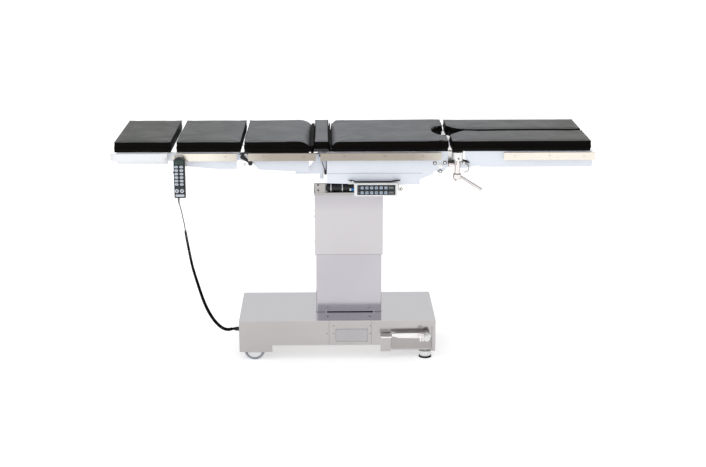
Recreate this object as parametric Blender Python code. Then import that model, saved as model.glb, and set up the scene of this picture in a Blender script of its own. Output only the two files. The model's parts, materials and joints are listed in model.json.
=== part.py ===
"""Operating table: a wheeled base, a lifting column, a two-axis tilting joint and a sectioned top.

Metres, +Z up. +X runs along the top from the head to the feet, and -Y is the operator's side.
Every piece is built at its place on the table's centreline. Each moving body hangs from an
empty on its joint's axis, and all the empties hang from one, which stands the table on its origin.
"""

import math

import bmesh
import bpy
from mathutils import Matrix, Vector

# Clearances
GAP = 0.0003
RUN = 0.0003
JOINT_GAP = 0.002

# The whole table stands this far behind its centreline, so that its box is centred on the origin
CENTRELINE_Y = 0.017

# Base
BASE_X = -0.0685
BASE_LENGTH = 0.855
BASE_DEPTH = 0.413
BASE_HEIGHT = 0.142
BASE_WALL = 0.003
FLOOR_GAP = 0.038
ARCH_RISE = 0.030
ARCH_FROM_HEAD = 0.144
ARCH_FROM_FOOT = 0.239
RECESS_LENGTH = 0.181
RECESS_HEIGHT = 0.113
RECESS_DEPTH = 0.018
RECESS_FROM_FOOT = 0.014
CHASSIS_Z = 0.105
CHASSIS_PLATE = 0.012

# Wheels, casters and floor locks
WHEEL_RADIUS = 0.045
WHEEL_WIDTH = 0.026
WHEEL_FROM_HEAD = 0.066
AXLE_RADIUS = 0.008
CASTER_RADIUS = 0.0375
CASTER_WIDTH = 0.025
CASTER_TRAIL = 0.022
CASTER_X = 0.285
CASTER_Y = 0.075
CASTER_PLATE = 0.012
CASTER_AXLE = 0.005
KINGPIN_RADIUS = 0.006
FOOT_X = 0.317
FOOT_Y = 0.170
FOOT_RADIUS = 0.0275
FOOT_SOLE = 0.018
FOOT_HEIGHT = 0.031
FOOT_STEM = 0.010
FOOT_STEM_TOP = 0.150

# Brake pedal
PEDAL_X = 0.318
PEDAL_Z = 0.115
PEDAL_REACH = 0.201
PEDAL_TREAD = 0.050
PEDAL_BAR = 0.010
PEDAL_HUB = 0.0175
PEDAL_CAP = 0.012
PEDAL_SHAFT = 0.008

# Column
COLUMN_X = -0.0165
LOWER_COVER_WIDTH = 0.287
LOWER_COVER_DEPTH = 0.170
LOWER_COVER_HEIGHT = 0.282
UPPER_COVER_HEIGHT = 0.268
COVER_OVERLAP = 0.018
COVER_WALL = 0.003
COVER_SLIDE = 0.002
COVER_CORNER = 0.006
CYLINDER_RADIUS = 0.060
CYLINDER_FLANGE = 0.085
CYLINDER_FOOT = 0.012
ROD_RADIUS = 0.0447
ROD_FLANGE = 0.070
LIFT_MARGIN = 0.010
HEAD_PLATE = 0.012
HEAD_OVERHANG = 0.003
LUG_THICKNESS = 0.020
LUG_SPAN = 0.120
LUG_RADIUS = 0.028
PIVOT_PIN = 0.012
LATERAL_RISE = 0.051
TREND_RISE = 0.060
MOTOR_RADIUS = 0.0185
MOTOR_LENGTH = 0.122
MOTOR_Y = -0.070

# The top: sections from the seat outwards
SEAT_HEAD_X = -0.095
SEAT_LENGTH = 0.496
LEG_GAP = 0.009
LEG_LENGTH = 0.590
LEG_SLIT = 0.024
BRIDGE_GAP = 0.007
BRIDGE_LENGTH = 0.062
BACK_GAP = 0.004
LOWER_LENGTH = 0.231
UPPER_GAP = 0.007
UPPER_LENGTH = 0.275
HEAD_GAP = 0.016
HEAD_LENGTH = 0.243
PAD_WIDTH = 0.500
PAD_THICKNESS = 0.0317
PAD_EDGE = 0.006
BOARD_RISE = 0.102
BOARD_THICKNESS = 0.012
BOARD_INSET = 0.004
NOTCH_WIDTH = 0.216
NOTCH_DEPTH = 0.053
SEAT_SLOPE_LENGTH = 0.025
SEAT_SLOPE_DROP = 0.014
LEG_CORNER_X = 0.045
LEG_CORNER_Y = 0.090

# Frames under the top
PANEL_INSET = 0.007
PANEL_THICKNESS = 0.006
TUBE = 0.020
KNUCKLE_THICKNESS = 0.008
HINGE_RADIUS = 0.017
HINGE_PIN = 0.006
HINGE_DROP = 0.021
BACK_HINGE_DROP = 0.019
TORQUE_TUBE = 0.008
BEAM_WIDTH = 0.030
BEAM_HEIGHT = 0.052
GOOSENECK_INSET = 0.032
GOOSENECK_THICKNESS = 0.008
SIDE_COVER_SHEET = 0.003
HANGER_Y = 0.1005
HANGER_THICKNESS = 0.012
GUIDE_Y = 0.150
GUIDE_RADIUS = 0.008
GUIDE_LENGTH = 0.140

# Side rails
RAIL_HEIGHT = 0.032
RAIL_THICKNESS = 0.009
RAIL_STANDOFF = 0.015
RAIL_BELOW_BOARD = 0.0025
BOSS_RADIUS = 0.008

# Leg joints
FOLD_INSET = 0.035
FOLD_DROP = 0.064
FOLD_PIN = 0.008
FOLD_RADIUS = 0.026
SPREAD_REACH = 0.036
SPREAD_INSET = 0.010
LEG_LUG_RADIUS = 0.024
LEG_LUG_HEIGHT = 0.035
SPINDLE_RADIUS = 0.008
SLEEVE_RADIUS = 0.011
SLEEVE_LENGTH = 0.059
CLAMP_HUB_RADIUS = 0.017
CLAMP_HUB_HEIGHT = 0.028
CLAMP_HANDLE_RADIUS = 0.006
CLAMP_HANDLE_REACH = 0.105
CLAMP_HANDLE_DROP = 0.058

# Control panel, handset and cord
PANEL_X = 0.0945
PANEL_LENGTH = 0.182
PANEL_HEIGHT = 0.055
PANEL_DEPTH = 0.0345
HANDSET_X = -0.723
HANDSET_WIDTH = 0.046
HANDSET_HEIGHT = 0.170
HANDSET_DEPTH = 0.022
HANDSET_BELOW_RAIL = 0.0105
HOOK_SHEET = 0.002
KEYPAD_SHEET = 0.0007
INLET_Y = -0.150
INLET_Z = 0.127
INLET_LENGTH = 0.020
INLET_RADIUS = 0.009
LEAD_RADIUS = 0.0023
CURL_RADIUS = 0.0052

# Heights that follow from the sizes above, from the floor up
BASE_TOP = FLOOR_GAP + BASE_HEIGHT
LOWER_COVER_TOP = BASE_TOP + GAP + LOWER_COVER_HEIGHT
UPPER_COVER_BOTTOM = LOWER_COVER_TOP - COVER_OVERLAP
UPPER_COVER_TOP = UPPER_COVER_BOTTOM + UPPER_COVER_HEIGHT
HEAD_BOTTOM = UPPER_COVER_TOP + GAP
HEAD_TOP = HEAD_BOTTOM + HEAD_PLATE
LATERAL_Z = HEAD_TOP + LATERAL_RISE
TREND_Z = LATERAL_Z + TREND_RISE
BOARD_Z = TREND_Z + BOARD_RISE
FRAME_TOP = BOARD_Z - GAP
BOARD_TOP = BOARD_Z + BOARD_THICKNESS
PAD_Z = BOARD_TOP + GAP
PAD_TOP = PAD_Z + PAD_THICKNESS
PAD_CORNER = 1.75 * PAD_EDGE
RAIL_TOP = BOARD_Z - RAIL_BELOW_BOARD
RAIL_Z = RAIL_TOP - RAIL_HEIGHT / 2
LIFT_TRAVEL = HEAD_BOTTOM - LOWER_COVER_TOP - LIFT_MARGIN

# Places along the top
HALF_WIDTH = PAD_WIDTH / 2
SEAT_FOOT_X = SEAT_HEAD_X + SEAT_LENGTH
LEG_HEAD_X = SEAT_FOOT_X + LEG_GAP
LEG_FOOT_X = LEG_HEAD_X + LEG_LENGTH
FOLD_X = SEAT_FOOT_X - FOLD_INSET
SPREAD_X = SEAT_FOOT_X + SPREAD_REACH
BRIDGE_FOOT_X = SEAT_HEAD_X - BRIDGE_GAP
BRIDGE_HEAD_X = BRIDGE_FOOT_X - BRIDGE_LENGTH
BRIDGE_X = (BRIDGE_HEAD_X + BRIDGE_FOOT_X) / 2
BACK_ARC = PAD_TOP - (BOARD_Z - BACK_HINGE_DROP)
BACK_HINGE_X = BRIDGE_HEAD_X - BACK_GAP - math.sqrt(BACK_ARC**2 - BACK_HINGE_DROP**2)
BACK_HINGE_Z = BOARD_Z - BACK_HINGE_DROP
LOWER_HEAD_X = BACK_HINGE_X - LOWER_LENGTH
UPPER_FOOT_X = LOWER_HEAD_X - UPPER_GAP
UPPER_HEAD_X = UPPER_FOOT_X - UPPER_LENGTH
HEAD_FOOT_X = UPPER_HEAD_X - HEAD_GAP
HEAD_END_X = HEAD_FOOT_X - HEAD_LENGTH
SECTION_HINGE_Z = BOARD_Z - HINGE_DROP
UPPER_HINGE_X = (LOWER_HEAD_X + UPPER_FOOT_X) / 2
HEAD_HINGE_X = (UPPER_HEAD_X + HEAD_FOOT_X) / 2
FOLD_Z = BOARD_Z - FOLD_DROP

# Places across the table
BASE_FRONT = BASE_DEPTH / 2
BASE_HEAD = BASE_X - BASE_LENGTH / 2
BASE_FOOT = BASE_X + BASE_LENGTH / 2
WHEEL_X = BASE_HEAD + WHEEL_FROM_HEAD
WHEEL_Y = BASE_FRONT - BASE_WALL - 0.004 - WHEEL_WIDTH / 2
PANEL_Y = HALF_WIDTH - PANEL_INSET
GOOSENECK_Y = HALF_WIDTH - GOOSENECK_INSET
SPREAD_Y = HALF_WIDTH - SPREAD_INSET
PANEL_IN = PANEL_Y - PANEL_THICKNESS
KNUCKLE_OUT = PANEL_IN - 0.0005
RAIL_IN = PANEL_Y + RAIL_STANDOFF
RAIL_OUT = RAIL_IN + RAIL_THICKNESS
BEAM_OUT = PANEL_Y - SIDE_COVER_SHEET - GAP
BEAM_IN = BEAM_OUT - BEAM_WIDTH
LUG_Z = FRAME_TOP - 0.0035 - LEG_LUG_HEIGHT
SLEEVE_TOP = LUG_Z - GAP

# Colour, roughness and metallic value of each finish
FINISHES = {
    "stainless": ((0.62, 0.60, 0.58), 0.35, 1.0),
    "cover": ((0.84, 0.86, 0.92), 0.35, 0.0),
    "rail": ((0.72, 0.69, 0.64), 0.30, 1.0),
    "chrome": ((0.80, 0.80, 0.80), 0.12, 1.0),
    "steel": ((0.50, 0.50, 0.52), 0.45, 1.0),
    "vinyl": ((0.05, 0.05, 0.055), 0.35, 0.0),
    "board": ((0.02, 0.02, 0.02), 0.50, 0.0),
    "rubber": ((0.03, 0.03, 0.03), 0.70, 0.0),
    "black plastic": ((0.03, 0.03, 0.035), 0.40, 0.0),
    "white plastic": ((0.90, 0.90, 0.88), 0.40, 0.0),
    "keypad": ((0.20, 0.25, 0.30), 0.50, 0.0),
}

bodies = {}


# Scene and pieces


def clear_scene():
    for item in list(bpy.data.objects):
        bpy.data.objects.remove(item, do_unlink=True)


def body(name, location, parent):
    """An empty on a body's joint axis. The body's pieces and the bodies it carries hang from it."""
    empty = bpy.data.objects.new(name + "_axis", None)
    empty.empty_display_size = 0.05
    bpy.context.scene.collection.objects.link(empty)
    empty.matrix_world = Matrix.Translation(location)
    if parent:
        hang(empty, parent)
    bodies[name] = empty


def hang(item, name):
    carrier = bodies[name]
    bpy.context.view_layer.update()
    item.parent = carrier
    item.matrix_parent_inverse = carrier.matrix_world.inverted()


def material_of(name, finish):
    colour, roughness, metallic = FINISHES[finish]
    material = bpy.data.materials.new(name)
    material.use_nodes = True
    material.diffuse_color = (*colour, 1)
    shader = material.node_tree.nodes["Principled BSDF"]
    shader.inputs["Base Color"].default_value = (*colour, 1)
    shader.inputs["Roughness"].default_value = roughness
    shader.inputs["Metallic"].default_value = metallic
    return material


def object_of(name, mesh):
    item = bpy.data.objects.new(name, mesh)
    bpy.context.scene.collection.objects.link(item)
    return item


def apply_boolean(item, operation, tool_mesh):
    tool = object_of("tool", tool_mesh)
    modifier = item.modifiers.new(operation, "BOOLEAN")
    modifier.operation = operation
    modifier.solver = "EXACT"
    modifier.object = tool
    graph = bpy.context.evaluated_depsgraph_get()
    mesh = bpy.data.meshes.new_from_object(item.evaluated_get(graph))
    item.modifiers.clear()
    item.data = mesh
    bpy.data.objects.remove(tool, do_unlink=True)


def piece(name, carrier, finish, first, join=(), cut=(), smooth=True):
    """One closed piece of a body: the first mesh, others joined to it, and holes cut out of it."""
    item = object_of(name, first)
    for mesh in join:
        apply_boolean(item, "UNION", mesh)
    for mesh in cut:
        apply_boolean(item, "DIFFERENCE", mesh)
    item.data.name = name
    item.data.materials.clear()
    item.data.materials.append(material_of(name, finish))
    if smooth:
        item.data.shade_smooth()
        item.data.set_sharp_from_angle(angle=math.radians(35))
    hang(item, carrier)
    return item


# Meshes


def mesh_of(work):
    bmesh.ops.recalc_face_normals(work, faces=work.faces)
    if work.calc_volume(signed=True) < 0:
        bmesh.ops.reverse_faces(work, faces=work.faces)
    mesh = bpy.data.meshes.new("shape")
    work.to_mesh(mesh)
    work.free()
    return mesh


def to_world(axis, a, b, along):
    """A point of an outline drawn across an axis: (y, z) across X, (x, z) across Y, (x, y) across Z."""
    return {"X": (along, a, b), "Y": (a, along, b), "Z": (a, b, along)}[axis]


def prism(axis, outline, low, high):
    work = bmesh.new()
    ends = [[work.verts.new(to_world(axis, a, b, along)) for a, b in outline] for along in (low, high)]
    for ring in ends:
        work.faces.new(ring)
    count = len(outline)
    for i in range(count):
        j = (i + 1) % count
        work.faces.new((ends[0][i], ends[0][j], ends[1][j], ends[1][i]))
    return mesh_of(work)


def block(x, y, z):
    """A box from three (low, high) pairs."""
    return prism("Z", [(x[0], y[0]), (x[1], y[0]), (x[1], y[1]), (x[0], y[1])], *z)


def circle(centre, radius, sides=24, start=0.0, end=math.tau):
    """Points round a circle, or along the arc from start to end."""
    whole = abs(end - start) >= math.tau
    steps = sides if whole else sides - 1
    turns = [start + (end - start) * i / steps for i in range(sides)]
    return [(centre[0] + radius * math.cos(t), centre[1] + radius * math.sin(t)) for t in turns]


def rod(axis, centre, radius, low, high, sides=20):
    return prism(axis, circle(centre, radius, sides), low, high)


def turned(axis, centre, profile, sides=24):
    """A lathe shape from (radius, height) points that start and end on the axis."""
    work = bmesh.new()
    rings = []
    for radius, along in profile:
        if radius == 0:
            rings.append([work.verts.new(to_world(axis, *centre, along))] * sides)
        else:
            places = circle(centre, radius, sides)
            rings.append([work.verts.new(to_world(axis, a, b, along)) for a, b in places])
    for lower, upper in zip(rings, rings[1:]):
        for i in range(sides):
            j = (i + 1) % sides
            corners = dict.fromkeys((lower[i], lower[j], upper[j], upper[i]))
            work.faces.new(list(corners))
    return mesh_of(work)


def bar(start, end, radius, sides=12):
    """A round bar from one point to another."""
    start, end = Vector(start), Vector(end)
    turn = (end - start).to_track_quat("Z", "Y").to_matrix().to_4x4()
    mesh = rod("Z", (0, 0), radius, 0, (end - start).length, sides)
    mesh.transform(Matrix.Translation(start) @ turn)
    return mesh


def rounded(outline, radius, steps=3):
    """An outline with each corner replaced by an arc of this radius, or a smaller one on a short side."""
    points = []
    count = len(outline)
    for i, corner in enumerate(outline):
        here = Vector(corner)
        back = Vector(outline[i - 1]) - here
        ahead = Vector(outline[(i + 1) % count]) - here
        half = back.angle(ahead) / 2
        run = min(radius / math.tan(half), 0.45 * back.length, 0.45 * ahead.length)
        start = here + back.normalized() * run
        end = here + ahead.normalized() * run
        for k in range(steps + 1):
            t = k / steps
            point = start * (1 - t) ** 2 + here * 2 * t * (1 - t) + end * t**2
            points.append(tuple(point))
    return points


def cushion(axis, outline, low, high, edge):
    """A prism whose far edge, or both edges across Y, are rolled over in two steps."""
    work = bmesh.new()
    work.from_mesh(prism(axis, outline, low, high))
    index = "XYZ".index(axis)
    ends = [face for face in work.faces if len(face.verts) == len(outline) and abs(face.normal[index]) > 0.9]
    rolled = [face for face in ends if axis == "Y" or face.normal[index] > 0]
    for face in rolled:
        bmesh.ops.translate(work, verts=face.verts, vec=-edge * face.normal)
    for inset, rise in ((0.29, 0.71), (0.71, 0.29)):
        bmesh.ops.inset_individual(work, faces=rolled, thickness=inset * edge, depth=rise * edge)
    return mesh_of(work)


def both_sides(across):
    """The same (low, high) pair on the front, where Y is negative, and on the back."""
    low, high = across
    return [(-high, -low), (low, high)]


def mirrored(outline):
    """An (x, y) outline on the other side of the centreline."""
    return [(x, -y) for x, y in reversed(outline)]


def rectangle(x, y):
    return [(x[0], y[0]), (x[1], y[0]), (x[1], y[1]), (x[0], y[1])]


# Base


def build_base():
    length = (BASE_HEAD, BASE_FOOT)
    depth = (-BASE_FRONT, BASE_FRONT)
    inside = (-BASE_FRONT + BASE_WALL, BASE_FRONT - BASE_WALL)
    recess_x = (BASE_FOOT - RECESS_FROM_FOOT - RECESS_LENGTH, BASE_FOOT - RECESS_FROM_FOOT)
    recess_top = FLOOR_GAP + RECESS_HEIGHT
    recess_back = -BASE_FRONT + RECESS_DEPTH
    tray_x = (recess_x[0] - BASE_WALL, recess_x[1] + BASE_WALL)
    tray_back = recess_back + BASE_WALL
    tray_top = recess_top + BASE_WALL
    wide = (BASE_HEAD + BASE_WALL, BASE_FOOT - BASE_WALL)
    arch = (BASE_HEAD + ARCH_FROM_HEAD, BASE_FOOT - ARCH_FROM_FOOT)
    piece(
        "base_cover",
        "base",
        "stainless",
        block(length, depth, (FLOOR_GAP, BASE_TOP)),
        cut=[
            block(wide, inside, (FLOOR_GAP - 0.01, BASE_TOP - BASE_WALL)),
            block(arch, (-BASE_DEPTH, BASE_DEPTH), (0, FLOOR_GAP + ARCH_RISE)),
            rod("Z", (COLUMN_X, 0), CYLINDER_RADIUS + 0.010, BASE_TOP - 0.02, BASE_TOP + 0.01, 28),
            block(recess_x, (-BASE_DEPTH, recess_back), (0, recess_top)),
        ],
    )
    cover = bpy.data.objects["base_cover"]
    tray = object_of("tray", block(tray_x, (-BASE_FRONT + 0.001, tray_back), (FLOOR_GAP, tray_top)))
    apply_boolean(tray, "DIFFERENCE", block(recess_x, (-BASE_DEPTH, recess_back), (0, recess_top)))
    apply_boolean(cover, "UNION", tray.data.copy())
    bpy.data.objects.remove(tray, do_unlink=True)
    shaft_hole = rod("Y", (PEDAL_X, PEDAL_Z), PEDAL_SHAFT + RUN, recess_back - 0.02, tray_back + 0.01)
    apply_boolean(cover, "DIFFERENCE", shaft_hole)

    plate = (CHASSIS_Z, CHASSIS_Z + CHASSIS_PLATE)
    edge_x = (wide[0] + GAP, wide[1] - GAP)
    edge_y = (inside[0] + GAP, inside[1] - GAP)
    leg_y = (WHEEL_Y - WHEEL_WIDTH / 2 - 0.014, WHEEL_Y - WHEEL_WIDTH / 2 - JOINT_GAP)
    joined = []
    for side in both_sides(leg_y):
        upright = (WHEEL_RADIUS - 0.015, CHASSIS_Z + 0.003)
        joined.append(block((WHEEL_X - 0.03, WHEEL_X + 0.03), side, upright))
    for side in both_sides((leg_y[0] + 0.004, WHEEL_Y + WHEEL_WIDTH / 2)):
        joined.append(rod("Y", (WHEEL_X, WHEEL_RADIUS), AXLE_RADIUS, *side))
    holes = [block((tray_x[0] - GAP, tray_x[1] + GAP), (-BASE_DEPTH, tray_back + GAP), (0, BASE_TOP))]
    for side in (-1, 1):
        holes.append(rod("Z", (CASTER_X, side * CASTER_Y), KINGPIN_RADIUS + RUN, 0, BASE_TOP, 16))
        holes.append(rod("Z", (FOOT_X, side * FOOT_Y), FOOT_STEM + RUN, 0, BASE_TOP))
    piece("base_chassis", "base", "steel", block(edge_x, edge_y, plate), join=joined, cut=holes)

    foot = CHASSIS_Z + CHASSIS_PLATE + GAP
    top = HEAD_BOTTOM - LIFT_TRAVEL - CYLINDER_FOOT - 0.005
    bore = ROD_RADIUS + RUN
    profile = [
        (0, foot),
        (CYLINDER_FLANGE, foot),
        (CYLINDER_FLANGE, foot + CYLINDER_FOOT),
        (CYLINDER_RADIUS, foot + CYLINDER_FOOT),
        (CYLINDER_RADIUS, top),
        (bore, top),
        (bore, foot + CYLINDER_FOOT),
        (0, foot + CYLINDER_FOOT),
    ]
    piece("lift_cylinder", "base", "steel", turned("Z", (COLUMN_X, 0), profile, 28))
    column_cover("column_lower_cover", "base", 0, BASE_TOP + GAP, LOWER_COVER_TOP)

    inlet = BASE_HEAD - GAP
    profile = [
        (0, inlet - INLET_LENGTH),
        (INLET_RADIUS - 0.002, inlet - INLET_LENGTH),
        (INLET_RADIUS, inlet - INLET_LENGTH + 0.003),
        (INLET_RADIUS, inlet - 0.004),
        (INLET_RADIUS + 0.005, inlet - 0.004),
        (INLET_RADIUS + 0.005, inlet),
        (0, inlet),
    ]
    piece("cord_inlet", "base", "black plastic", turned("X", (INLET_Y, INLET_Z), profile, 16))


def column_cover(name, carrier, grow, low, high):
    """A rectangular sleeve with rounded corners, wider than the lowest one by grow on each side."""
    half_x = LOWER_COVER_WIDTH / 2 + grow
    half_y = LOWER_COVER_DEPTH / 2 + grow

    def outline(inset):
        x = (COLUMN_X - half_x + inset, COLUMN_X + half_x - inset)
        y = (-half_y + inset, half_y - inset)
        return rounded(rectangle(x, y), COVER_CORNER)

    piece(
        name,
        carrier,
        "stainless",
        prism("Z", outline(0), low, high),
        cut=[prism("Z", outline(COVER_WALL), low - 0.01, high + 0.01)],
    )


def build_wheels():
    for name, side in (("front", -1), ("back", 1)):
        y = side * WHEEL_Y
        half = WHEEL_WIDTH / 2
        bore = AXLE_RADIUS + RUN
        profile = [
            (bore, y - half),
            (0.020, y - half),
            (0.024, y - half + 0.003),
            (WHEEL_RADIUS - 0.012, y - half + 0.003),
            (WHEEL_RADIUS - 0.008, y - half),
            (WHEEL_RADIUS - 0.003, y - half),
            (WHEEL_RADIUS, y - half + 0.004),
        ]
        outline = profile + [(radius, 2 * y - along) for radius, along in reversed(profile)]
        wheel = f"fixed_wheel_{name}"
        body(wheel, (WHEEL_X, y, WHEEL_RADIUS), "base")
        piece(wheel, wheel, "rubber", ring_of("Y", (WHEEL_X, WHEEL_RADIUS), outline, 28))

        caster(name, side)
        floor_lock(name, side)


def ring_of(axis, centre, outline, sides):
    """A lathe shape with a hole through it, from a closed outline of (radius, height) points."""
    work = bmesh.new()
    rings = []
    for radius, along in outline:
        rings.append([work.verts.new(to_world(axis, a, b, along)) for a, b in circle(centre, radius, sides)])
    for k in range(len(rings)):
        lower, upper = rings[k - 1], rings[k]
        for i in range(sides):
            j = (i + 1) % sides
            work.faces.new((lower[i], lower[j], upper[j], upper[i]))
    return mesh_of(work)


def caster(name, side):
    y = side * CASTER_Y
    wheel_x = CASTER_X - CASTER_TRAIL
    half = CASTER_WIDTH / 2
    cheek_in = half + 0.0015
    cheek_out = cheek_in + 0.004
    top = CHASSIS_Z - GAP
    plate = top - CASTER_PLATE
    swivel = f"caster_{name}"
    body(swivel, (CASTER_X, y, CASTER_RADIUS), "base")
    cheek = rounded(
        [
            (wheel_x - 0.011, CASTER_RADIUS - 0.011),
            (wheel_x + 0.011, CASTER_RADIUS - 0.011),
            (CASTER_X + 0.016, plate + 0.003),
            (wheel_x - 0.011, plate + 0.003),
        ],
        0.008,
    )
    piece(
        f"caster_fork_{name}",
        swivel,
        "steel",
        rod("Z", (CASTER_X, y), 0.028, plate, top, 24),
        join=[
            block((wheel_x - 0.011, CASTER_X), (y - cheek_out, y + cheek_out), (plate, top - 0.003)),
            prism("Y", cheek, y - cheek_out, y - cheek_in),
            prism("Y", cheek, y + cheek_in, y + cheek_out),
            rod("Y", (wheel_x, CASTER_RADIUS), CASTER_AXLE, y - cheek_in - 0.002, y + cheek_in + 0.002, 12),
            rod("Z", (CASTER_X, y), KINGPIN_RADIUS, top - 0.002, CHASSIS_Z + CHASSIS_PLATE - 0.001, 16),
        ],
    )
    wheel = f"caster_wheel_{name}"
    body(wheel, (wheel_x, y, CASTER_RADIUS), swivel)
    outline = [
        (CASTER_AXLE + RUN, y - half),
        (CASTER_RADIUS - 0.003, y - half),
        (CASTER_RADIUS, y - half + 0.004),
        (CASTER_RADIUS, y + half - 0.004),
        (CASTER_RADIUS - 0.003, y + half),
        (CASTER_AXLE + RUN, y + half),
    ]
    piece(wheel, wheel, "rubber", ring_of("Y", (wheel_x, CASTER_RADIUS), outline, 24))


def floor_lock(name, side):
    y = side * FOOT_Y
    foot = f"lock_foot_{name}"
    body(foot, (FOOT_X, y, 0), "base")
    profile = [
        (0, 0),
        (FOOT_SOLE, 0),
        (FOOT_RADIUS, FOOT_HEIGHT * 0.45),
        (FOOT_RADIUS, FOOT_HEIGHT),
        (FOOT_STEM, FOOT_HEIGHT),
        (FOOT_STEM, FOOT_STEM_TOP),
        (0, FOOT_STEM_TOP),
    ]
    piece(foot, foot, "rubber", turned("Z", (FOOT_X, y), profile, 24))


def build_pedal():
    front = -BASE_FRONT - 0.0074
    back = front - PEDAL_BAR
    body("brake_pedal", (PEDAL_X, front, PEDAL_Z), "base")
    tip = PEDAL_X - PEDAL_REACH
    arm = [
        (PEDAL_X - 0.010, PEDAL_Z - 0.012),
        (PEDAL_X - 0.010, PEDAL_Z + 0.012),
        (PEDAL_X - 0.037, PEDAL_Z + 0.012),
        (PEDAL_X - 0.120, PEDAL_Z + 0.011),
        (tip + 0.010, PEDAL_Z + 0.008),
        (tip + 0.004, PEDAL_Z + 0.002),
        (PEDAL_X - 0.140, PEDAL_Z - 0.003),
        (PEDAL_X - 0.120, PEDAL_Z - 0.010),
    ]
    tread_z = (PEDAL_Z + 0.003, PEDAL_Z + 0.009)
    tread = rounded(rectangle((tip, tip + PEDAL_TREAD), (back - 0.036, front)), 0.008)
    shaft_end = -BASE_FRONT + RECESS_DEPTH + BASE_WALL
    piece(
        "brake_pedal",
        "brake_pedal",
        "chrome",
        prism("Y", arm, back, front),
        join=[
            rod("Y", (PEDAL_X, PEDAL_Z), PEDAL_HUB, back - PEDAL_CAP, front, 24),
            prism("Z", tread, *tread_z),
            rod("Y", (PEDAL_X, PEDAL_Z), PEDAL_SHAFT, front - 0.002, shaft_end),
        ],
    )


# Column


def build_column():
    body("column", (COLUMN_X, 0, UPPER_COVER_BOTTOM), "base")
    grow = COVER_SLIDE + COVER_WALL
    column_cover("column_upper_cover", "column", grow, UPPER_COVER_BOTTOM, UPPER_COVER_TOP)

    rod_bottom = CHASSIS_Z + CHASSIS_PLATE + CYLINDER_FOOT + LIFT_TRAVEL + 0.005
    rod_top = HEAD_BOTTOM - GAP
    profile = [
        (0, rod_bottom),
        (ROD_RADIUS, rod_bottom),
        (ROD_RADIUS, rod_top - CYLINDER_FOOT),
        (ROD_FLANGE, rod_top - CYLINDER_FOOT),
        (ROD_FLANGE, rod_top),
        (0, rod_top),
    ]
    piece("lift_rod", "column", "chrome", turned("Z", (COLUMN_X, 0), profile, 28))

    half_x = LOWER_COVER_WIDTH / 2 + grow + HEAD_OVERHANG
    half_y = LOWER_COVER_DEPTH / 2 + grow + HEAD_OVERHANG
    plate = rounded(rectangle((COLUMN_X - half_x, COLUMN_X + half_x), (-half_y, half_y)), COVER_CORNER)
    lug = [(LUG_RADIUS, HEAD_TOP - 0.004)]
    lug += circle((0, LATERAL_Z), LUG_RADIUS, 11, 0, math.pi)
    lug += [(-LUG_RADIUS, HEAD_TOP - 0.004)]
    joined = []
    for side in (-1, 1):
        middle = COLUMN_X + side * LUG_SPAN / 2
        joined.append(prism("X", lug, middle - LUG_THICKNESS / 2, middle + LUG_THICKNESS / 2))
    bracket = rectangle((COLUMN_X - half_x + 0.005, -0.120), (HEAD_TOP - 0.004, HEAD_TOP + 0.041))
    bracket = rounded(bracket, 0.002)
    joined.append(prism("Y", bracket, -half_y + 0.001, -half_y + 0.005))
    span = LUG_SPAN / 2 + LUG_THICKNESS
    piece(
        "column_head",
        "column",
        "stainless",
        prism("Z", plate, HEAD_BOTTOM, HEAD_TOP),
        join=joined,
        cut=[rod("X", (0, LATERAL_Z), PIVOT_PIN + RUN, COLUMN_X - span, COLUMN_X + span)],
    )

    start = -0.117
    groove = MOTOR_RADIUS - 0.0015
    profile = [(0, start)]
    for t in (30, 60):
        angle = math.radians(t)
        profile.append((MOTOR_RADIUS * math.sin(angle), start + 0.012 * (1 - math.cos(angle))))
    profile.append((MOTOR_RADIUS, start + 0.012))
    for ring in (start + 0.021, start + 0.070):
        profile += [(MOTOR_RADIUS, ring), (groove, ring + 0.001)]
        profile += [(groove, ring + 0.003), (MOTOR_RADIUS, ring + 0.004)]
    profile += [(MOTOR_RADIUS, start + MOTOR_LENGTH), (0, start + MOTOR_LENGTH)]
    piece(
        "tilt_motor",
        "column",
        "black plastic",
        turned("X", (MOTOR_Y, HEAD_TOP + GAP + MOTOR_RADIUS), profile, 24),
    )


def build_cradle():
    """The cross of the two-axis joint: one pin along the table and two stub pins across it."""
    body("cradle", (COLUMN_X, 0, LATERAL_Z), "column")
    block_half = LUG_SPAN / 2 - LUG_THICKNESS / 2 - JOINT_GAP
    pin_half = LUG_SPAN / 2 + LUG_THICKNESS / 2 + JOINT_GAP
    arm_y = HANGER_Y - JOINT_GAP
    stub_y = HANGER_Y + HANGER_THICKNESS + JOINT_GAP
    core = rounded(rectangle((-0.045, 0.045), (LATERAL_Z - 0.018, LATERAL_Z + 0.050)), 0.010)
    arm = rounded(rectangle((COLUMN_X - 0.024, COLUMN_X + 0.024), (TREND_Z - 0.023, TREND_Z + 0.023)), 0.010)
    piece(
        "tilt_cradle",
        "cradle",
        "steel",
        prism("X", core, COLUMN_X - block_half, COLUMN_X + block_half),
        join=[
            prism("Y", arm, -arm_y, arm_y),
            rod("X", (0, LATERAL_Z), PIVOT_PIN, COLUMN_X - pin_half, COLUMN_X + pin_half),
            rod("Y", (COLUMN_X, TREND_Z), PIVOT_PIN, -stub_y, stub_y),
        ],
    )


# Top: shared shapes


def panel_pair(outline):
    return [prism("Y", outline, *side) for side in both_sides((PANEL_IN, PANEL_Y))]


def cross_tube(x, low, high, reach=None):
    reach = reach or PANEL_IN + 0.003
    return block((x - TUBE / 2, x + TUBE / 2), (-reach, reach), (low, high))


def hinge_pins(x, z):
    """Stub pins on the side panels, which point in towards the knuckles they carry."""
    inner = KNUCKLE_OUT - KNUCKLE_THICKNESS - 0.003
    return [rod("Y", (x, z), HINGE_PIN, *side, 16) for side in both_sides((inner, PANEL_IN + 0.003))]


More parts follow.
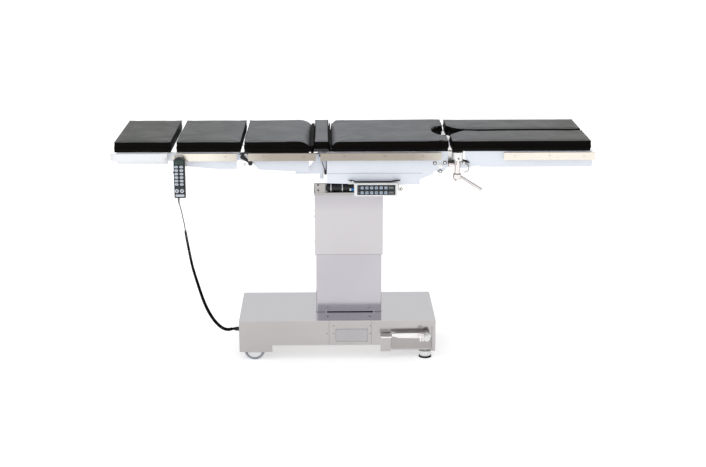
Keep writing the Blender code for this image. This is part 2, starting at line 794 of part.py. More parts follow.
def knuckles(x, z, reach):
    """Plates with a round end about a hinge, which run back to their own section, and foot pads."""
    side = math.copysign(1, reach)
    far = x + reach
    outline = [(far, z - HINGE_RADIUS), (x, z - HINGE_RADIUS)]
    start = -math.pi / 2
    outline += circle((x, z), HINGE_RADIUS, 9, start, start - side * math.pi)[1:-1]
    outline += [(x, z + HINGE_RADIUS), (far, z + HINGE_RADIUS)]
    pad = tuple(sorted((far, x + side * (HINGE_RADIUS + 0.014))))
    meshes = []
    for pair in both_sides((KNUCKLE_OUT - KNUCKLE_THICKNESS, KNUCKLE_OUT)):
        meshes.append(prism("Y", outline, *pair))
    for pair in both_sides((KNUCKLE_OUT - KNUCKLE_THICKNESS + 0.001, PANEL_IN + 0.002)):
        meshes.append(block(pad, pair, (z - HINGE_RADIUS + 0.001, z + HINGE_RADIUS - 0.001)))
    return meshes


def knuckle_bores(x, z):
    return [rod("Y", (x, z), HINGE_PIN + RUN, -PANEL_Y, PANEL_Y, 16)]


def eye(x, z, radius, side):
    """Half a circle of points about a hinge, on the head side or the foot side, from below to above."""
    start = -math.pi / 2
    return circle((x, z), radius, 9, start, start + side * math.pi)


def board(name, carrier, outline):
    piece(name, carrier, "board", prism("Z", outline, BOARD_Z, BOARD_TOP), smooth=False)


def pad(name, carrier, outline):
    piece(name, carrier, "vinyl", cushion("Z", outline, PAD_Z, PAD_TOP, PAD_EDGE))


def plain_section(name, low, high):
    """A board and a pad with square corners between two places along the top."""
    half = HALF_WIDTH - BOARD_INSET
    board(f"{name}_board", name, rectangle((low + BOARD_INSET, high - BOARD_INSET), (-half, half)))
    pad(f"{name}_pad", name, rounded(rectangle((low, high), (-HALF_WIDTH, HALF_WIDTH)), PAD_CORNER))


def rail_meshes(low, high, bolts, side):
    """A flat bar held off its section by round bosses."""
    y = tuple(sorted((side * RAIL_IN, side * RAIL_OUT)))
    bar_mesh = block((low, high), y, (RAIL_TOP - RAIL_HEIGHT, RAIL_TOP))
    foot = tuple(sorted((side * (PANEL_Y + GAP), side * (RAIL_IN + 0.003))))
    return bar_mesh, [rod("Y", (x, RAIL_Z), BOSS_RADIUS, *foot, 12) for x in bolts]


def rails(name, low, high, bolts, sides=(("front", -1), ("back", 1))):
    for label, side in sides:
        first, bosses = rail_meshes(low, high, bolts, side)
        carrier = name if len(sides) == 2 else f"{name}_{label}"
        piece(f"{name}_rail_{label}", carrier, "rail", first, join=bosses)


# Top: seat and kidney bridge


def seat_outline(inset):
    """The seat's plan, with the round notch between the patient's legs in its foot edge."""
    half = HALF_WIDTH - inset
    head, foot = SEAT_HEAD_X + inset, SEAT_FOOT_X - inset
    shoulder = NOTCH_WIDTH / 2 + inset
    turns = [math.pi * k / 6 for k in range(7)]
    notch = [(foot - NOTCH_DEPTH * math.sin(t), -shoulder * math.cos(t)) for t in turns]
    return rounded([(head, -half), (foot, -half)] + notch + [(foot, half), (head, half)], PAD_CORNER)


def seat_slope():
    """What the slope at the head end takes off the seat's pad, so that the bridge can rise beside it."""
    spare = 0.5
    low = (SEAT_HEAD_X - spare * SEAT_SLOPE_LENGTH, PAD_TOP - (1 + spare) * SEAT_SLOPE_DROP)
    high = (SEAT_HEAD_X + (1 + spare) * SEAT_SLOPE_LENGTH, PAD_TOP + spare * SEAT_SLOPE_DROP)
    return prism("Y", [low, high, (low[0], high[1])], -PAD_WIDTH, PAD_WIDTH)


def gooseneck():
    """The plate that reaches under the back section's sweep to its hinge."""
    x, z = BACK_HINGE_X, BACK_HINGE_Z
    sweep = BACK_ARC + 0.003
    foot_z = z - sweep
    plate = [
        (x - 0.015, foot_z - 0.014),
        (BRIDGE_X - 0.002, foot_z - 0.014),
        (BRIDGE_FOOT_X - 0.010, foot_z - 0.002),
        (SEAT_HEAD_X + 0.004, foot_z + 0.020),
        (SEAT_HEAD_X + 0.004, FRAME_TOP - 0.010),
        (BRIDGE_HEAD_X + 0.010, FRAME_TOP - 0.010),
        (x + 0.015, z + 0.005),
        (x - 0.015, z + 0.005),
    ]
    neck = [(x - 0.015, foot_z - 0.010), (x + 0.013, foot_z - 0.010), (x + 0.013, z), (x - 0.015, z)]
    return plate, neck, sweep


def build_seat():
    body("seat", (COLUMN_X, 0, TREND_Z), "cradle")
    beam_z = (FRAME_TOP - BEAM_HEIGHT, FRAME_TOP)
    beam_end = FOLD_X - FOLD_RADIUS - 0.010
    tube_z = (beam_z[0] + 0.003, beam_z[1] - 0.004)
    x, z = BACK_HINGE_X, BACK_HINGE_Z
    plate, neck, sweep = gooseneck()
    neck_y = (GOOSENECK_Y, GOOSENECK_Y + GOOSENECK_THICKNESS)
    guide_x = (BRIDGE_X - 0.016, SEAT_HEAD_X - 0.001)
    cheek = [(beam_end - 0.030, beam_z[0] + 0.004), (FOLD_X - 0.012, FOLD_Z - FOLD_RADIUS)]
    cheek += eye(FOLD_X, FOLD_Z, FOLD_RADIUS, 1)
    cheek += [(FOLD_X, FRAME_TOP - 0.008), (beam_end - 0.030, FRAME_TOP - 0.008)]
    hanger = rectangle((COLUMN_X - 0.03, COLUMN_X + 0.03), (TREND_Z - 0.023, beam_z[0] + 0.010))
    hanger = rounded(hanger, 0.012)
    joined = []
    for side in both_sides(neck_y):
        swept = object_of("neck", prism("Y", plate, *side))
        apply_boolean(swept, "DIFFERENCE", rod("Y", (x, z), sweep, side[0] - 0.01, side[1] + 0.01, 40))
        apply_boolean(swept, "UNION", prism("Y", neck, *side))
        apply_boolean(swept, "UNION", rod("Y", (x, z), HINGE_RADIUS - 0.001, *side))
        joined.append(swept.data.copy())
        bpy.data.objects.remove(swept, do_unlink=True)
    for side in both_sides((BEAM_IN, BEAM_OUT)):
        joined.append(block((SEAT_HEAD_X - 0.004, beam_end), side, beam_z))
    for place in (COLUMN_X, beam_end - 0.016):
        joined.append(cross_tube(place, *tube_z, reach=BEAM_IN + 0.004))
    for side in both_sides((HANGER_Y, HANGER_Y + HANGER_THICKNESS)):
        joined.append(prism("Y", hanger, *side))
    for side in both_sides((GUIDE_Y - 0.016, GUIDE_Y + 0.016)):
        joined.append(block(guide_x, side, tube_z))
    for side in both_sides((BEAM_IN - 0.011, BEAM_IN + 0.0005)) + both_sides((BEAM_OUT - 0.006, BEAM_OUT)):
        joined.append(prism("Y", cheek, *side))
    for side in both_sides((BEAM_IN - 0.008, BEAM_OUT - 0.002)):
        joined.append(rod("Y", (FOLD_X, FOLD_Z), FOLD_PIN, *side, 16))
    holes = [
        rod("Y", (x, z), TORQUE_TUBE + RUN, -PANEL_Y, PANEL_Y),
        rod("Y", (COLUMN_X, TREND_Z), PIVOT_PIN + RUN, -HANGER_Y - 0.02, HANGER_Y + 0.02),
    ]
    for side in (-1, 1):
        centre = (BRIDGE_X, side * GUIDE_Y)
        holes.append(rod("Z", centre, GUIDE_RADIUS + RUN, BOARD_Z - GUIDE_LENGTH, BOARD_Z + 0.05, 16))
    head_tube = cross_tube(SEAT_HEAD_X + 0.002, *tube_z, reach=BEAM_IN + 0.004)
    piece("seat_frame", "seat", "steel", head_tube, join=joined, cut=holes)

    side_covers()
    board("seat_board", "seat", seat_outline(BOARD_INSET))
    whole = cushion("Z", seat_outline(0), PAD_Z, PAD_TOP, PAD_EDGE)
    piece("seat_pad", "seat", "vinyl", whole, cut=[seat_slope()])
    bolts = (SEAT_HEAD_X + 0.057, SEAT_HEAD_X + 0.227, FOLD_X - 0.076)
    rails("seat", SEAT_HEAD_X - 0.043, FOLD_X + 0.001, bolts)
    control_panel()


def side_covers():
    """Sheet covers over the seat's drives: an upper field, a lower one set in a little, and a lip."""
    left = SEAT_HEAD_X - 0.016
    right = SEAT_FOOT_X - 0.004
    fold = FRAME_TOP - 0.0905
    bottom = fold - 0.054
    upper = [
        (left, fold),
        (FOLD_X - 0.051, fold),
        (FOLD_X - 0.032, fold + 0.004),
        (right, FOLD_Z - 0.006),
        (right, FRAME_TOP),
        (left, FRAME_TOP),
    ]
    lower = [
        (left, bottom + 0.008),
        (FOLD_X - 0.153, bottom),
        (FOLD_X - 0.086, bottom + 0.003),
        (FOLD_X - 0.086, bottom + 0.022),
        (FOLD_X - 0.030, fold - 0.006),
        (FOLD_X - 0.022, fold + 0.006),
        (left, fold + 0.006),
    ]
    lip_outline = [
        (left, bottom + 0.0085),
        (FOLD_X - 0.160, bottom + 0.001),
        (FOLD_X - 0.160, bottom + 0.005),
        (left, bottom + 0.0125),
    ]
    for name, side in (("front", -1), ("back", 1)):

        def across(low, high):
            return tuple(sorted((side * low, side * high)))

        field = across(PANEL_Y - SIDE_COVER_SHEET, PANEL_Y)
        inset = across(PANEL_Y - SIDE_COVER_SHEET - 0.002, PANEL_Y - 0.002)
        lip = across(PANEL_Y - 0.030, PANEL_Y - 0.003)
        piece(
            f"seat_cover_{name}",
            "seat",
            "cover",
            prism("Y", upper, *field),
            join=[prism("Y", lower, *inset), prism("Y", lip_outline, *lip)],
        )


def control_panel():
    back = -PANEL_Y + 0.002 - GAP
    front = back - PANEL_DEPTH
    top = FRAME_TOP - 0.130
    x = (PANEL_X - PANEL_LENGTH / 2, PANEL_X + PANEL_LENGTH / 2)
    z = (top - PANEL_HEIGHT, top)
    piece(
        "control_panel",
        "seat",
        "white plastic",
        prism("Y", rounded(rectangle(x, z), 0.004), front, back),
        join=[block((x[0] - 0.025, x[1] + 0.0145), (back - 0.003, back), (top - 0.010, top + 0.010))],
    )
    keys = rounded(rectangle((x[0] + 0.013, x[1] - 0.010), (z[0] + 0.0065, z[1] - 0.0065)), 0.003)
    piece("control_keys", "seat", "keypad", prism("Y", keys, front - GAP - KEYPAD_SHEET, front - GAP))


def build_bridge():
    """The narrow section that lifts under the loins, on two guide rods."""
    body("bridge", (BRIDGE_X, 0, BOARD_Z), "seat")
    half = HALF_WIDTH - BOARD_INSET
    x = (BRIDGE_HEAD_X + 0.002, BRIDGE_FOOT_X - 0.002)
    rods = []
    for side in (-1, 1):
        low = BOARD_Z + 0.003 - GUIDE_LENGTH
        rods.append(rod("Z", (BRIDGE_X, side * GUIDE_Y), GUIDE_RADIUS, low, BOARD_Z + 0.003, 16))
    piece("bridge_lift", "bridge", "steel", block(x, (-half, half), (BOARD_Z, BOARD_TOP)), join=rods)
    outline = rounded(rectangle((BRIDGE_HEAD_X, BRIDGE_FOOT_X), (-HALF_WIDTH, HALF_WIDTH)), PAD_CORNER)
    pad("bridge_pad", "bridge", outline)


# Top: back and head


def build_lower_back():
    body("lower_back", (BACK_HINGE_X, 0, BACK_HINGE_Z), "seat")
    x, z = BACK_HINGE_X, BACK_HINGE_Z
    outline = eye(UPPER_HINGE_X, SECTION_HINGE_Z, HINGE_RADIUS, -1)[::-1]
    outline += [
        (LOWER_HEAD_X + 0.032, FRAME_TOP - 0.042),
        (LOWER_HEAD_X + 0.062, FRAME_TOP - 0.076),
        (x + 0.043, FRAME_TOP - 0.088),
        (x + 0.043, FRAME_TOP),
        (LOWER_HEAD_X + 0.006, FRAME_TOP),
    ]
    tube_z = (FRAME_TOP - 0.028, FRAME_TOP - 0.008)
    front, back = panel_pair(outline)
    piece(
        "lower_back_frame",
        "lower_back",
        "cover",
        front,
        join=[
            cross_tube(LOWER_HEAD_X + 0.050, *tube_z),
            cross_tube(x - 0.070, *tube_z),
            rod("Y", (x, z), TORQUE_TUBE, -PANEL_IN - 0.003, PANEL_IN + 0.003),
            back,
            *hinge_pins(UPPER_HINGE_X, SECTION_HINGE_Z),
        ],
    )
    half = HALF_WIDTH - BOARD_INSET
    board_end = x + math.sqrt(BACK_ARC**2 - (BOARD_TOP - z) ** 2) - 0.004
    board("lower_back_board", "lower_back", rectangle((LOWER_HEAD_X + BOARD_INSET, board_end), (-half, half)))
    first = math.asin((PAD_Z - z) / BACK_ARC)
    side = [(LOWER_HEAD_X, PAD_Z)] + circle((x, z), BACK_ARC, 9, first, math.pi / 2)
    side += [(LOWER_HEAD_X + 0.003, PAD_TOP), (LOWER_HEAD_X, PAD_TOP - 0.003)]
    piece(
        "lower_back_pad",
        "lower_back",
        "vinyl",
        cushion("Y", side, -HALF_WIDTH, HALF_WIDTH, PAD_EDGE / 2),
    )
    rails("lower_back", LOWER_HEAD_X + 0.020, x + 0.072, (LOWER_HEAD_X + 0.084, x + 0.020))
    latch_lever()


def latch_lever():
    body("latch", (UPPER_HINGE_X, -PANEL_Y, SECTION_HINGE_Z), "lower_back")
    back = -PANEL_Y - GAP
    front = back - 0.006
    x, z = UPPER_HINGE_X, SECTION_HINGE_Z
    arm = [(x - 0.006, z - 0.006), (x + 0.026, z - 0.027), (x + 0.030, z - 0.020), (x + 0.003, z + 0.008)]
    piece(
        "latch_lever",
        "latch",
        "black plastic",
        rod("Y", (x, z), 0.010, front, back, 16),
        join=[
            prism("Y", arm, front + 0.001, back - 0.0005),
            rod("Y", (x + 0.032, z - 0.026), 0.0095, front - 0.006, back, 14),
        ],
    )


def build_upper_back():
    body("upper_back", (UPPER_HINGE_X, 0, SECTION_HINGE_Z), "lower_back")
    far = UPPER_HINGE_X - 0.0245
    outline = eye(HEAD_HINGE_X, SECTION_HINGE_Z, HINGE_RADIUS, -1)[::-1]
    outline += [
        (UPPER_HEAD_X + 0.014, FRAME_TOP - 0.047),
        (UPPER_HEAD_X + 0.050, FRAME_TOP - 0.061),
        (UPPER_HEAD_X + 0.175, FRAME_TOP - 0.073),
        (far, FRAME_TOP - 0.073),
        (far, FRAME_TOP),
        (UPPER_HEAD_X + 0.006, FRAME_TOP),
    ]
    tube_z = (FRAME_TOP - 0.028, FRAME_TOP - 0.008)
    front, back = panel_pair(outline)
    piece(
        "upper_back_frame",
        "upper_back",
        "cover",
        front,
        join=[
            cross_tube(UPPER_HEAD_X + 0.040, *tube_z),
            cross_tube(UPPER_FOOT_X - 0.060, *tube_z),
            back,
            *hinge_pins(HEAD_HINGE_X, SECTION_HINGE_Z),
            *knuckles(UPPER_HINGE_X, SECTION_HINGE_Z, -0.080),
        ],
        cut=knuckle_bores(UPPER_HINGE_X, SECTION_HINGE_Z),
    )
    plain_section("upper_back", UPPER_HEAD_X, UPPER_FOOT_X)
    rails("upper_back", UPPER_HEAD_X + 0.006, UPPER_FOOT_X - 0.019, (UPPER_HEAD_X + 0.041, UPPER_FOOT_X - 0.068))


def build_head():
    body("head", (HEAD_HINGE_X, 0, SECTION_HINGE_Z), "upper_back")
    x = (HEAD_END_X + 0.012, HEAD_HINGE_X - 0.026)
    low = FRAME_TOP - 0.050
    outline = [(x[0] + 0.006, low), (x[1], low), (x[1], FRAME_TOP), (x[0], FRAME_TOP), (x[0], low + 0.006)]
    tube_z = (FRAME_TOP - 0.028, FRAME_TOP - 0.008)
    front, back = panel_pair(outline)
    joined = [cross_tube(x[0] + 0.030, *tube_z), cross_tube(x[1] - 0.030, *tube_z), back]
    joined += knuckles(HEAD_HINGE_X, SECTION_HINGE_Z, -0.080)
    for side in (-1, 1):
        rail, bosses = rail_meshes(HEAD_END_X - 0.012, x[1], (x[0] + 0.030, x[1] - 0.020), side)
        joined.append(rail)
        for place in (x[0] + 0.030, x[1] - 0.020):
            across = tuple(sorted((side * (PANEL_Y - 0.003), side * (RAIL_IN + 0.003))))
            joined.append(rod("Y", (place, RAIL_Z), BOSS_RADIUS, *across, 12))
    piece(
        "head_frame",
        "head",
        "cover",
        front,
        join=joined,
        cut=knuckle_bores(HEAD_HINGE_X, SECTION_HINGE_Z),
    )
    plain_section("head", HEAD_END_X, HEAD_FOOT_X)


# Top: legs


def leg_outline(inset, side):
    """One leg's plan: its inner corner at the head end is cut off, opposite the seat's notch."""
    inner = LEG_SLIT / 2 + inset
    corners = [
        (LEG_HEAD_X + inset, HALF_WIDTH - inset),
        (LEG_HEAD_X + inset, inner + LEG_CORNER_Y),
        (LEG_HEAD_X + LEG_CORNER_X + inset, inner + 0.018),
        (LEG_HEAD_X + LEG_CORNER_X + 0.030, inner),
        (LEG_FOOT_X - inset, inner),
        (LEG_FOOT_X - inset, HALF_WIDTH - inset),
    ]
    outline = rounded(corners, PAD_CORNER)
    return outline if side > 0 else mirrored(outline)


def build_leg(name, side):
    def across(low, high):
        return tuple(sorted((side * low, side * high)))

    joint = f"leg_joint_{name}"
    body(joint, (FOLD_X, side * SPREAD_Y, FOLD_Z), "seat")
    plate_in = BEAM_IN + 0.0005 + JOINT_GAP
    plate_out = BEAM_OUT - 0.006 - JOINT_GAP
    lug_top = LUG_Z + LEG_LUG_HEIGHT
    plate = [
        (FOLD_X + 0.004, FOLD_Z - 0.024),
        (FOLD_X + 0.034, FOLD_Z - 0.006),
        (SPREAD_X - LEG_LUG_RADIUS, LUG_Z),
        (SPREAD_X, LUG_Z),
        (SPREAD_X, lug_top),
        (SPREAD_X - 0.042, lug_top),
        (FOLD_X, FOLD_Z + FOLD_RADIUS - 0.001),
    ]
    spindle_z = (SLEEVE_TOP - SLEEVE_LENGTH - CLAMP_HUB_HEIGHT + 0.006, LUG_Z + 0.004)
    piece(
        f"leg_bracket_{name}",
        joint,
        "stainless",
        rod("Z", (SPREAD_X, side * SPREAD_Y), LEG_LUG_RADIUS, LUG_Z, lug_top, 28),
        join=[
            prism("Y", plate, *across(plate_in, plate_out)),
            rod("Y", (FOLD_X, FOLD_Z), FOLD_RADIUS, *across(plate_in, plate_out)),
            rod("Z", (SPREAD_X, side * SPREAD_Y), SPINDLE_RADIUS, *spindle_z),
        ],
        cut=[rod("Y", (FOLD_X, FOLD_Z), FOLD_PIN + RUN, *across(plate_in - 0.01, plate_out + 0.01))],
    )

    leg = f"leg_{name}"
    body(leg, (SPREAD_X, side * SPREAD_Y, SLEEVE_TOP), joint)
    near = SPREAD_X + LEG_LUG_RADIUS + 0.007
    panel = [
        (near, FRAME_TOP - 0.030),
        (SPREAD_X + 0.055, FRAME_TOP - 0.048),
        (SPREAD_X + 0.098, FRAME_TOP - 0.068),
        (LEG_FOOT_X + 0.000, FRAME_TOP - 0.068),
        (LEG_FOOT_X + 0.004, FRAME_TOP - 0.062),
        (LEG_FOOT_X + 0.004, FRAME_TOP),
        (near, FRAME_TOP),
    ]
    arm = [
        (SPREAD_X, SLEEVE_TOP - 0.034),
        (SPREAD_X + 0.035, SLEEVE_TOP - 0.034),
        (SPREAD_X + 0.100, SLEEVE_TOP - 0.022),
        (SPREAD_X + 0.100, SLEEVE_TOP + 0.020),
        (near + 0.008, SLEEVE_TOP + 0.020),
        (near + 0.008, SLEEVE_TOP - 0.002),
        (SPREAD_X, SLEEVE_TOP - 0.002),
    ]
    inner = LEG_SLIT / 2 + BOARD_INSET
    tube_z = (FRAME_TOP - 0.028, FRAME_TOP - 0.008)
    first_tube = SPREAD_X + 0.075
    joined = []
    for x in (first_tube, (first_tube + LEG_FOOT_X) / 2, LEG_FOOT_X - 0.020):
        joined.append(block((x - TUBE / 2, x + TUBE / 2), across(inner + 0.002, PANEL_IN + 0.003), tube_z))
    inner_y = across(inner, inner + PANEL_THICKNESS)
    inner_z = (tube_z[0] - 0.003, FRAME_TOP)
    joined.append(block((first_tube - 0.008, LEG_FOOT_X - 0.012), inner_y, inner_z))
    joined.append(prism("Y", arm, *across(PANEL_IN - 0.010, PANEL_IN + 0.002)))
    sleeve_z = (SLEEVE_TOP - SLEEVE_LENGTH, SLEEVE_TOP)
    joined.append(rod("Z", (SPREAD_X, side * SPREAD_Y), SLEEVE_RADIUS, *sleeve_z))
    bore_z = (sleeve_z[0] - 0.01, sleeve_z[1] + 0.01)
    piece(
        f"leg_frame_{name}",
        leg,
        "cover",
        prism("Y", panel, *across(PANEL_IN, PANEL_Y)),
        join=joined,
        cut=[rod("Z", (SPREAD_X, side * SPREAD_Y), SPINDLE_RADIUS + RUN, *bore_z)],
    )
    board(f"leg_board_{name}", leg, leg_outline(BOARD_INSET, side))
    pad(f"leg_pad_{name}", leg, leg_outline(0, side))
    bolts = [SPREAD_X + 0.240, SPREAD_X + 0.385, LEG_FOOT_X - 0.034]
    rails("leg", SPREAD_X + 0.192, LEG_FOOT_X + 0.012, bolts, sides=((name, side),))
    clamp_lever(name, side)


def clamp_lever(name, side):
    """The hub under the sleeve that clamps the leg's spread, with its sloping handle."""
    lever = f"clamp_{name}"
    top = SLEEVE_TOP - SLEEVE_LENGTH - GAP
    low = top - CLAMP_HUB_HEIGHT
    centre = (SPREAD_X, side * SPREAD_Y)
    body(lever, (*centre, top), f"leg_joint_{name}")
    bore = SPINDLE_RADIUS + RUN
    profile = [
        (0, low),
        (CLAMP_HUB_RADIUS * 0.6, low),
        (CLAMP_HUB_RADIUS, low + 0.010),
        (CLAMP_HUB_RADIUS, top),
        (bore, top),
        (bore, low + 0.004),
        (0, low + 0.004),
    ]
    start = (SPREAD_X + CLAMP_HUB_RADIUS - 0.004, centre[1], top - 0.011)
    end = (SPREAD_X + CLAMP_HANDLE_REACH, centre[1], start[2] - CLAMP_HANDLE_DROP)
    piece(
        f"clamp_lever_{name}",
        lever,
        "chrome",
        turned("Z", centre, profile),
        join=[bar(start, end, CLAMP_HANDLE_RADIUS)],
    )


# Handset and cord


def build_handset():
    rail_front = -RAIL_OUT
    leaf = (rail_front - GAP - HOOK_SHEET, rail_front - GAP)
    tail = (-RAIL_IN + GAP, -RAIL_IN + GAP + HOOK_SHEET)
    hook_z = (RAIL_TOP + GAP, RAIL_TOP + GAP + HOOK_SHEET)
    body("handset", (HANDSET_X, -(RAIL_IN + RAIL_OUT) / 2, hook_z[0]), "upper_back")
    back = rail_front - 0.0115
    front = back - HANDSET_DEPTH
    x = (HANDSET_X - HANDSET_WIDTH / 2, HANDSET_X + HANDSET_WIDTH / 2)
    top = RAIL_TOP - HANDSET_BELOW_RAIL
    low = top - HANDSET_HEIGHT
    case = [(x[0], low), (x[1], low), (x[1], top - 0.012)]
    case += circle((HANDSET_X, top - 0.030), 0.030, 7, math.radians(52), math.radians(128))
    case += [(x[0], top - 0.012)]
    hook_x = (HANDSET_X - 0.012, HANDSET_X + 0.012)
    piece(
        "handset",
        "handset",
        "black plastic",
        prism("Y", rounded(case, 0.003, 2), front, back),
        join=[
            block(hook_x, (back - 0.002, leaf[1]), (top - 0.030, top - 0.010)),
            block(hook_x, leaf, (top - 0.028, hook_z[1])),
            block(hook_x, (leaf[0], tail[1]), hook_z),
            block(hook_x, tail, (RAIL_TOP - 0.012, hook_z[1] - 0.0003)),
        ],
    )
    keys = rounded(rectangle((x[0] + 0.004, x[1] - 0.004), (low + 0.016, top - 0.022)), 0.002, 2)
    piece("handset_keys", "handset", "keypad", prism("Y", keys, front - GAP - KEYPAD_SHEET, front - GAP))
    return low


# The cord's way from under the handset to the base's inlet, as shares of the distance between them.
# The last point of the lead is the first of the curly part.
LEAD_SHARES = [
    (0.000, 0.000, 0.000),
    (0.000, 0.000, 0.018),
    (0.016, 0.000, 0.053),
    (0.047, 0.007, 0.099),
    (0.073, 0.019, 0.150),
    (0.092, 0.036, 0.187),
    (0.102, 0.054, 0.221),
]
CURL_SHARES = [
    (0.111, 0.069, 0.251),
    (0.132, 0.101, 0.307),
    (0.155, 0.137, 0.364),
    (0.188, 0.180, 0.441),
    (0.226, 0.230, 0.512),
    (0.277, 0.288, 0.587),
    (0.334, 0.352, 0.664),
    (0.399, 0.432, 0.748),
    (0.475, 0.518, 0.823),
    (0.564, 0.612, 0.890),
    (0.658, 0.698, 0.941),
    (0.761, 0.791, 0.979),
    (0.846, 0.892, 0.997),
    (0.902, 0.971, 1.002),
    (0.945, 1.000, 1.000),
    (1.000, 1.000, 1.000),
]


def smooth_route(points, spacing):
    """Evenly spaced points on a smooth curve through the route."""
    ends = [2 * Vector(points[0]) - Vector(points[1]), 2 * Vector(points[-1]) - Vector(points[-2])]
    knots = [ends[0]] + [Vector(p) for p in points] + [ends[1]]
    fine = []
    for a, b, c, d in zip(knots, knots[1:], knots[2:], knots[3:]):
        for k in range(12):
            t = k / 12
            square = (2 * a - 5 * b + 4 * c - d) * t**2
            cube = (3 * b - a - 3 * c + d) * t**3
            fine.append(0.5 * (2 * b + (c - a) * t + square + cube))
    fine.append(knots[-2])
    total = sum((b - a).length for a, b in zip(fine, fine[1:]))
    count = max(2, round(total / spacing))
    even = [fine[0]]
    travelled = 0.0
    for a, b in zip(fine, fine[1:]):
        step = (b - a).length
        while len(even) < count and travelled + step >= total * len(even) / count:
            even.append(a.lerp(b, (total * len(even) / count - travelled) / step))
        travelled += step
    return even + [fine[-1]]


def cord(name, route, radius, spacing, resolution):
    curve = bpy.data.curves.new(name, "CURVE")
    curve.dimensions = "3D"
    curve.bevel_depth = radius
    curve.bevel_resolution = resolution
    curve.use_fill_caps = True
    spline = curve.splines.new("POLY")
    points = smooth_route(route, spacing)
    spline.points.add(len(points) - 1)
    for point, place in zip(spline.points, points):
        point.co = (*place, 1)
    curve.materials.append(material_of(name, "rubber"))
    item = object_of(name, curve)
    hang(item, "base")


def build_cord(handset_bottom):
    top = (HANDSET_X - 0.007, -RAIL_OUT - 0.022, handset_bottom - GAP)
    end = (BASE_HEAD - 2 * GAP - INLET_LENGTH - 0.0003, INLET_Y, INLET_Z)

    def placed(shares):
        return [tuple(a + (b - a) * part for a, b, part in zip(top, end, share)) for share in shares]

    lead = placed(LEAD_SHARES)
    curl = [lead[-1]] + placed(CURL_SHARES)
    step = Vector(lead[-2]) - Vector(lead[-1])
    lead[-1] = tuple(Vector(lead[-1]) + step.normalized() * 1.5 * GAP)
    cord("cord_lead", lead, LEAD_RADIUS, 0.012, 2)
    cord("cord_curl", curl, CURL_RADIUS, 0.010, 2)


def main():
    clear_scene()
    body("base", (0, 0, 0), None)
    build_base()
    build_wheels()
    build_pedal()
    build_column()
    build_cradle()
    build_seat()
    build_bridge()
    build_lower_back()
    build_upper_back()
    build_head()
    for name, side in (("front", -1), ("back", 1)):
        build_leg(name, side)
    build_cord(build_handset())
    bodies["base"].location.y = CENTRELINE_Y


main()
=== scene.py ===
import json
import math

import bmesh
import bpy
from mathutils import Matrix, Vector, noise


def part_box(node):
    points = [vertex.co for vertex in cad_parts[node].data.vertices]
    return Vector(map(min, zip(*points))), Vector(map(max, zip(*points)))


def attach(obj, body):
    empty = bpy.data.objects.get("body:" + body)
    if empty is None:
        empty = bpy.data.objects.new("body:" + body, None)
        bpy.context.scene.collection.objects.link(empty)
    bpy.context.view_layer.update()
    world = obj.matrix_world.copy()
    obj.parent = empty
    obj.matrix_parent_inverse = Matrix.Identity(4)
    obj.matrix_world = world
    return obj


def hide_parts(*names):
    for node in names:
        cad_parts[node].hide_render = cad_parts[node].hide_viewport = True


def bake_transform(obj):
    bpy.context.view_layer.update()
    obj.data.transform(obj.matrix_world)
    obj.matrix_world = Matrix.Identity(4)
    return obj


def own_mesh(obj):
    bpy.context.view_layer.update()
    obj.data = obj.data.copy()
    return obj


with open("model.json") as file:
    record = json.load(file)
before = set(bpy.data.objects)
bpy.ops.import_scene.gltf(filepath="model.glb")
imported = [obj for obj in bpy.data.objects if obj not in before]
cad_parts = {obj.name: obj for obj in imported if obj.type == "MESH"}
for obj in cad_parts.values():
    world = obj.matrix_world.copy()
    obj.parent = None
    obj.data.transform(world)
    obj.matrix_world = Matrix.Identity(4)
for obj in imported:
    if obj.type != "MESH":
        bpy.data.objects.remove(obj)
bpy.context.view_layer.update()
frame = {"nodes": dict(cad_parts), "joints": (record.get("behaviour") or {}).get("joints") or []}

# The looks of an operating table: a stainless base and column, bluish white section frames with
# stainless rails, black vinyl pads, a handset on a curled cord and a keypad under the seat.
# Lengths are in metres, apart from the rings, screws and tiles of small fittings, in millimetres.
# The head end is at -X and the side with the keypad at -Y.

RAIL_SHADE_X = -0.05
MIDDLE_Y = 0.017
SIDES = (("front", -1), ("back", 1))
X, Y, Z = Vector((1, 0, 0)), Vector((0, 1, 0)), Vector((0, 0, 1))
JOINT_AT = {joint["name"]: joint["pos_m"] for joint in frame["joints"]}


def across(y):
    """A place measured from the table's centreline, on the world's Y axis."""
    return MIDDLE_Y + y


# Camera

CAMERA_PLACE = (-0.1102, -6.0486, 2.1617)
CAMERA_TILT = 74.825
CAMERA_TURN = -1.0704
CAMERA_LENS = 72.455


def make_camera():
    camera = bpy.data.objects.new("camera", bpy.data.cameras.new("camera"))
    bpy.context.scene.collection.objects.link(camera)
    camera.location = CAMERA_PLACE
    camera.rotation_euler = (math.radians(CAMERA_TILT), 0, math.radians(CAMERA_TURN))
    camera.data.lens = CAMERA_LENS
    camera.data.sensor_width = 36
    camera.data.clip_end = 200
    bpy.context.scene.camera = camera


make_camera()


# Materials: each has a grain, a drift of colour, uneven gloss and edges that catch the light


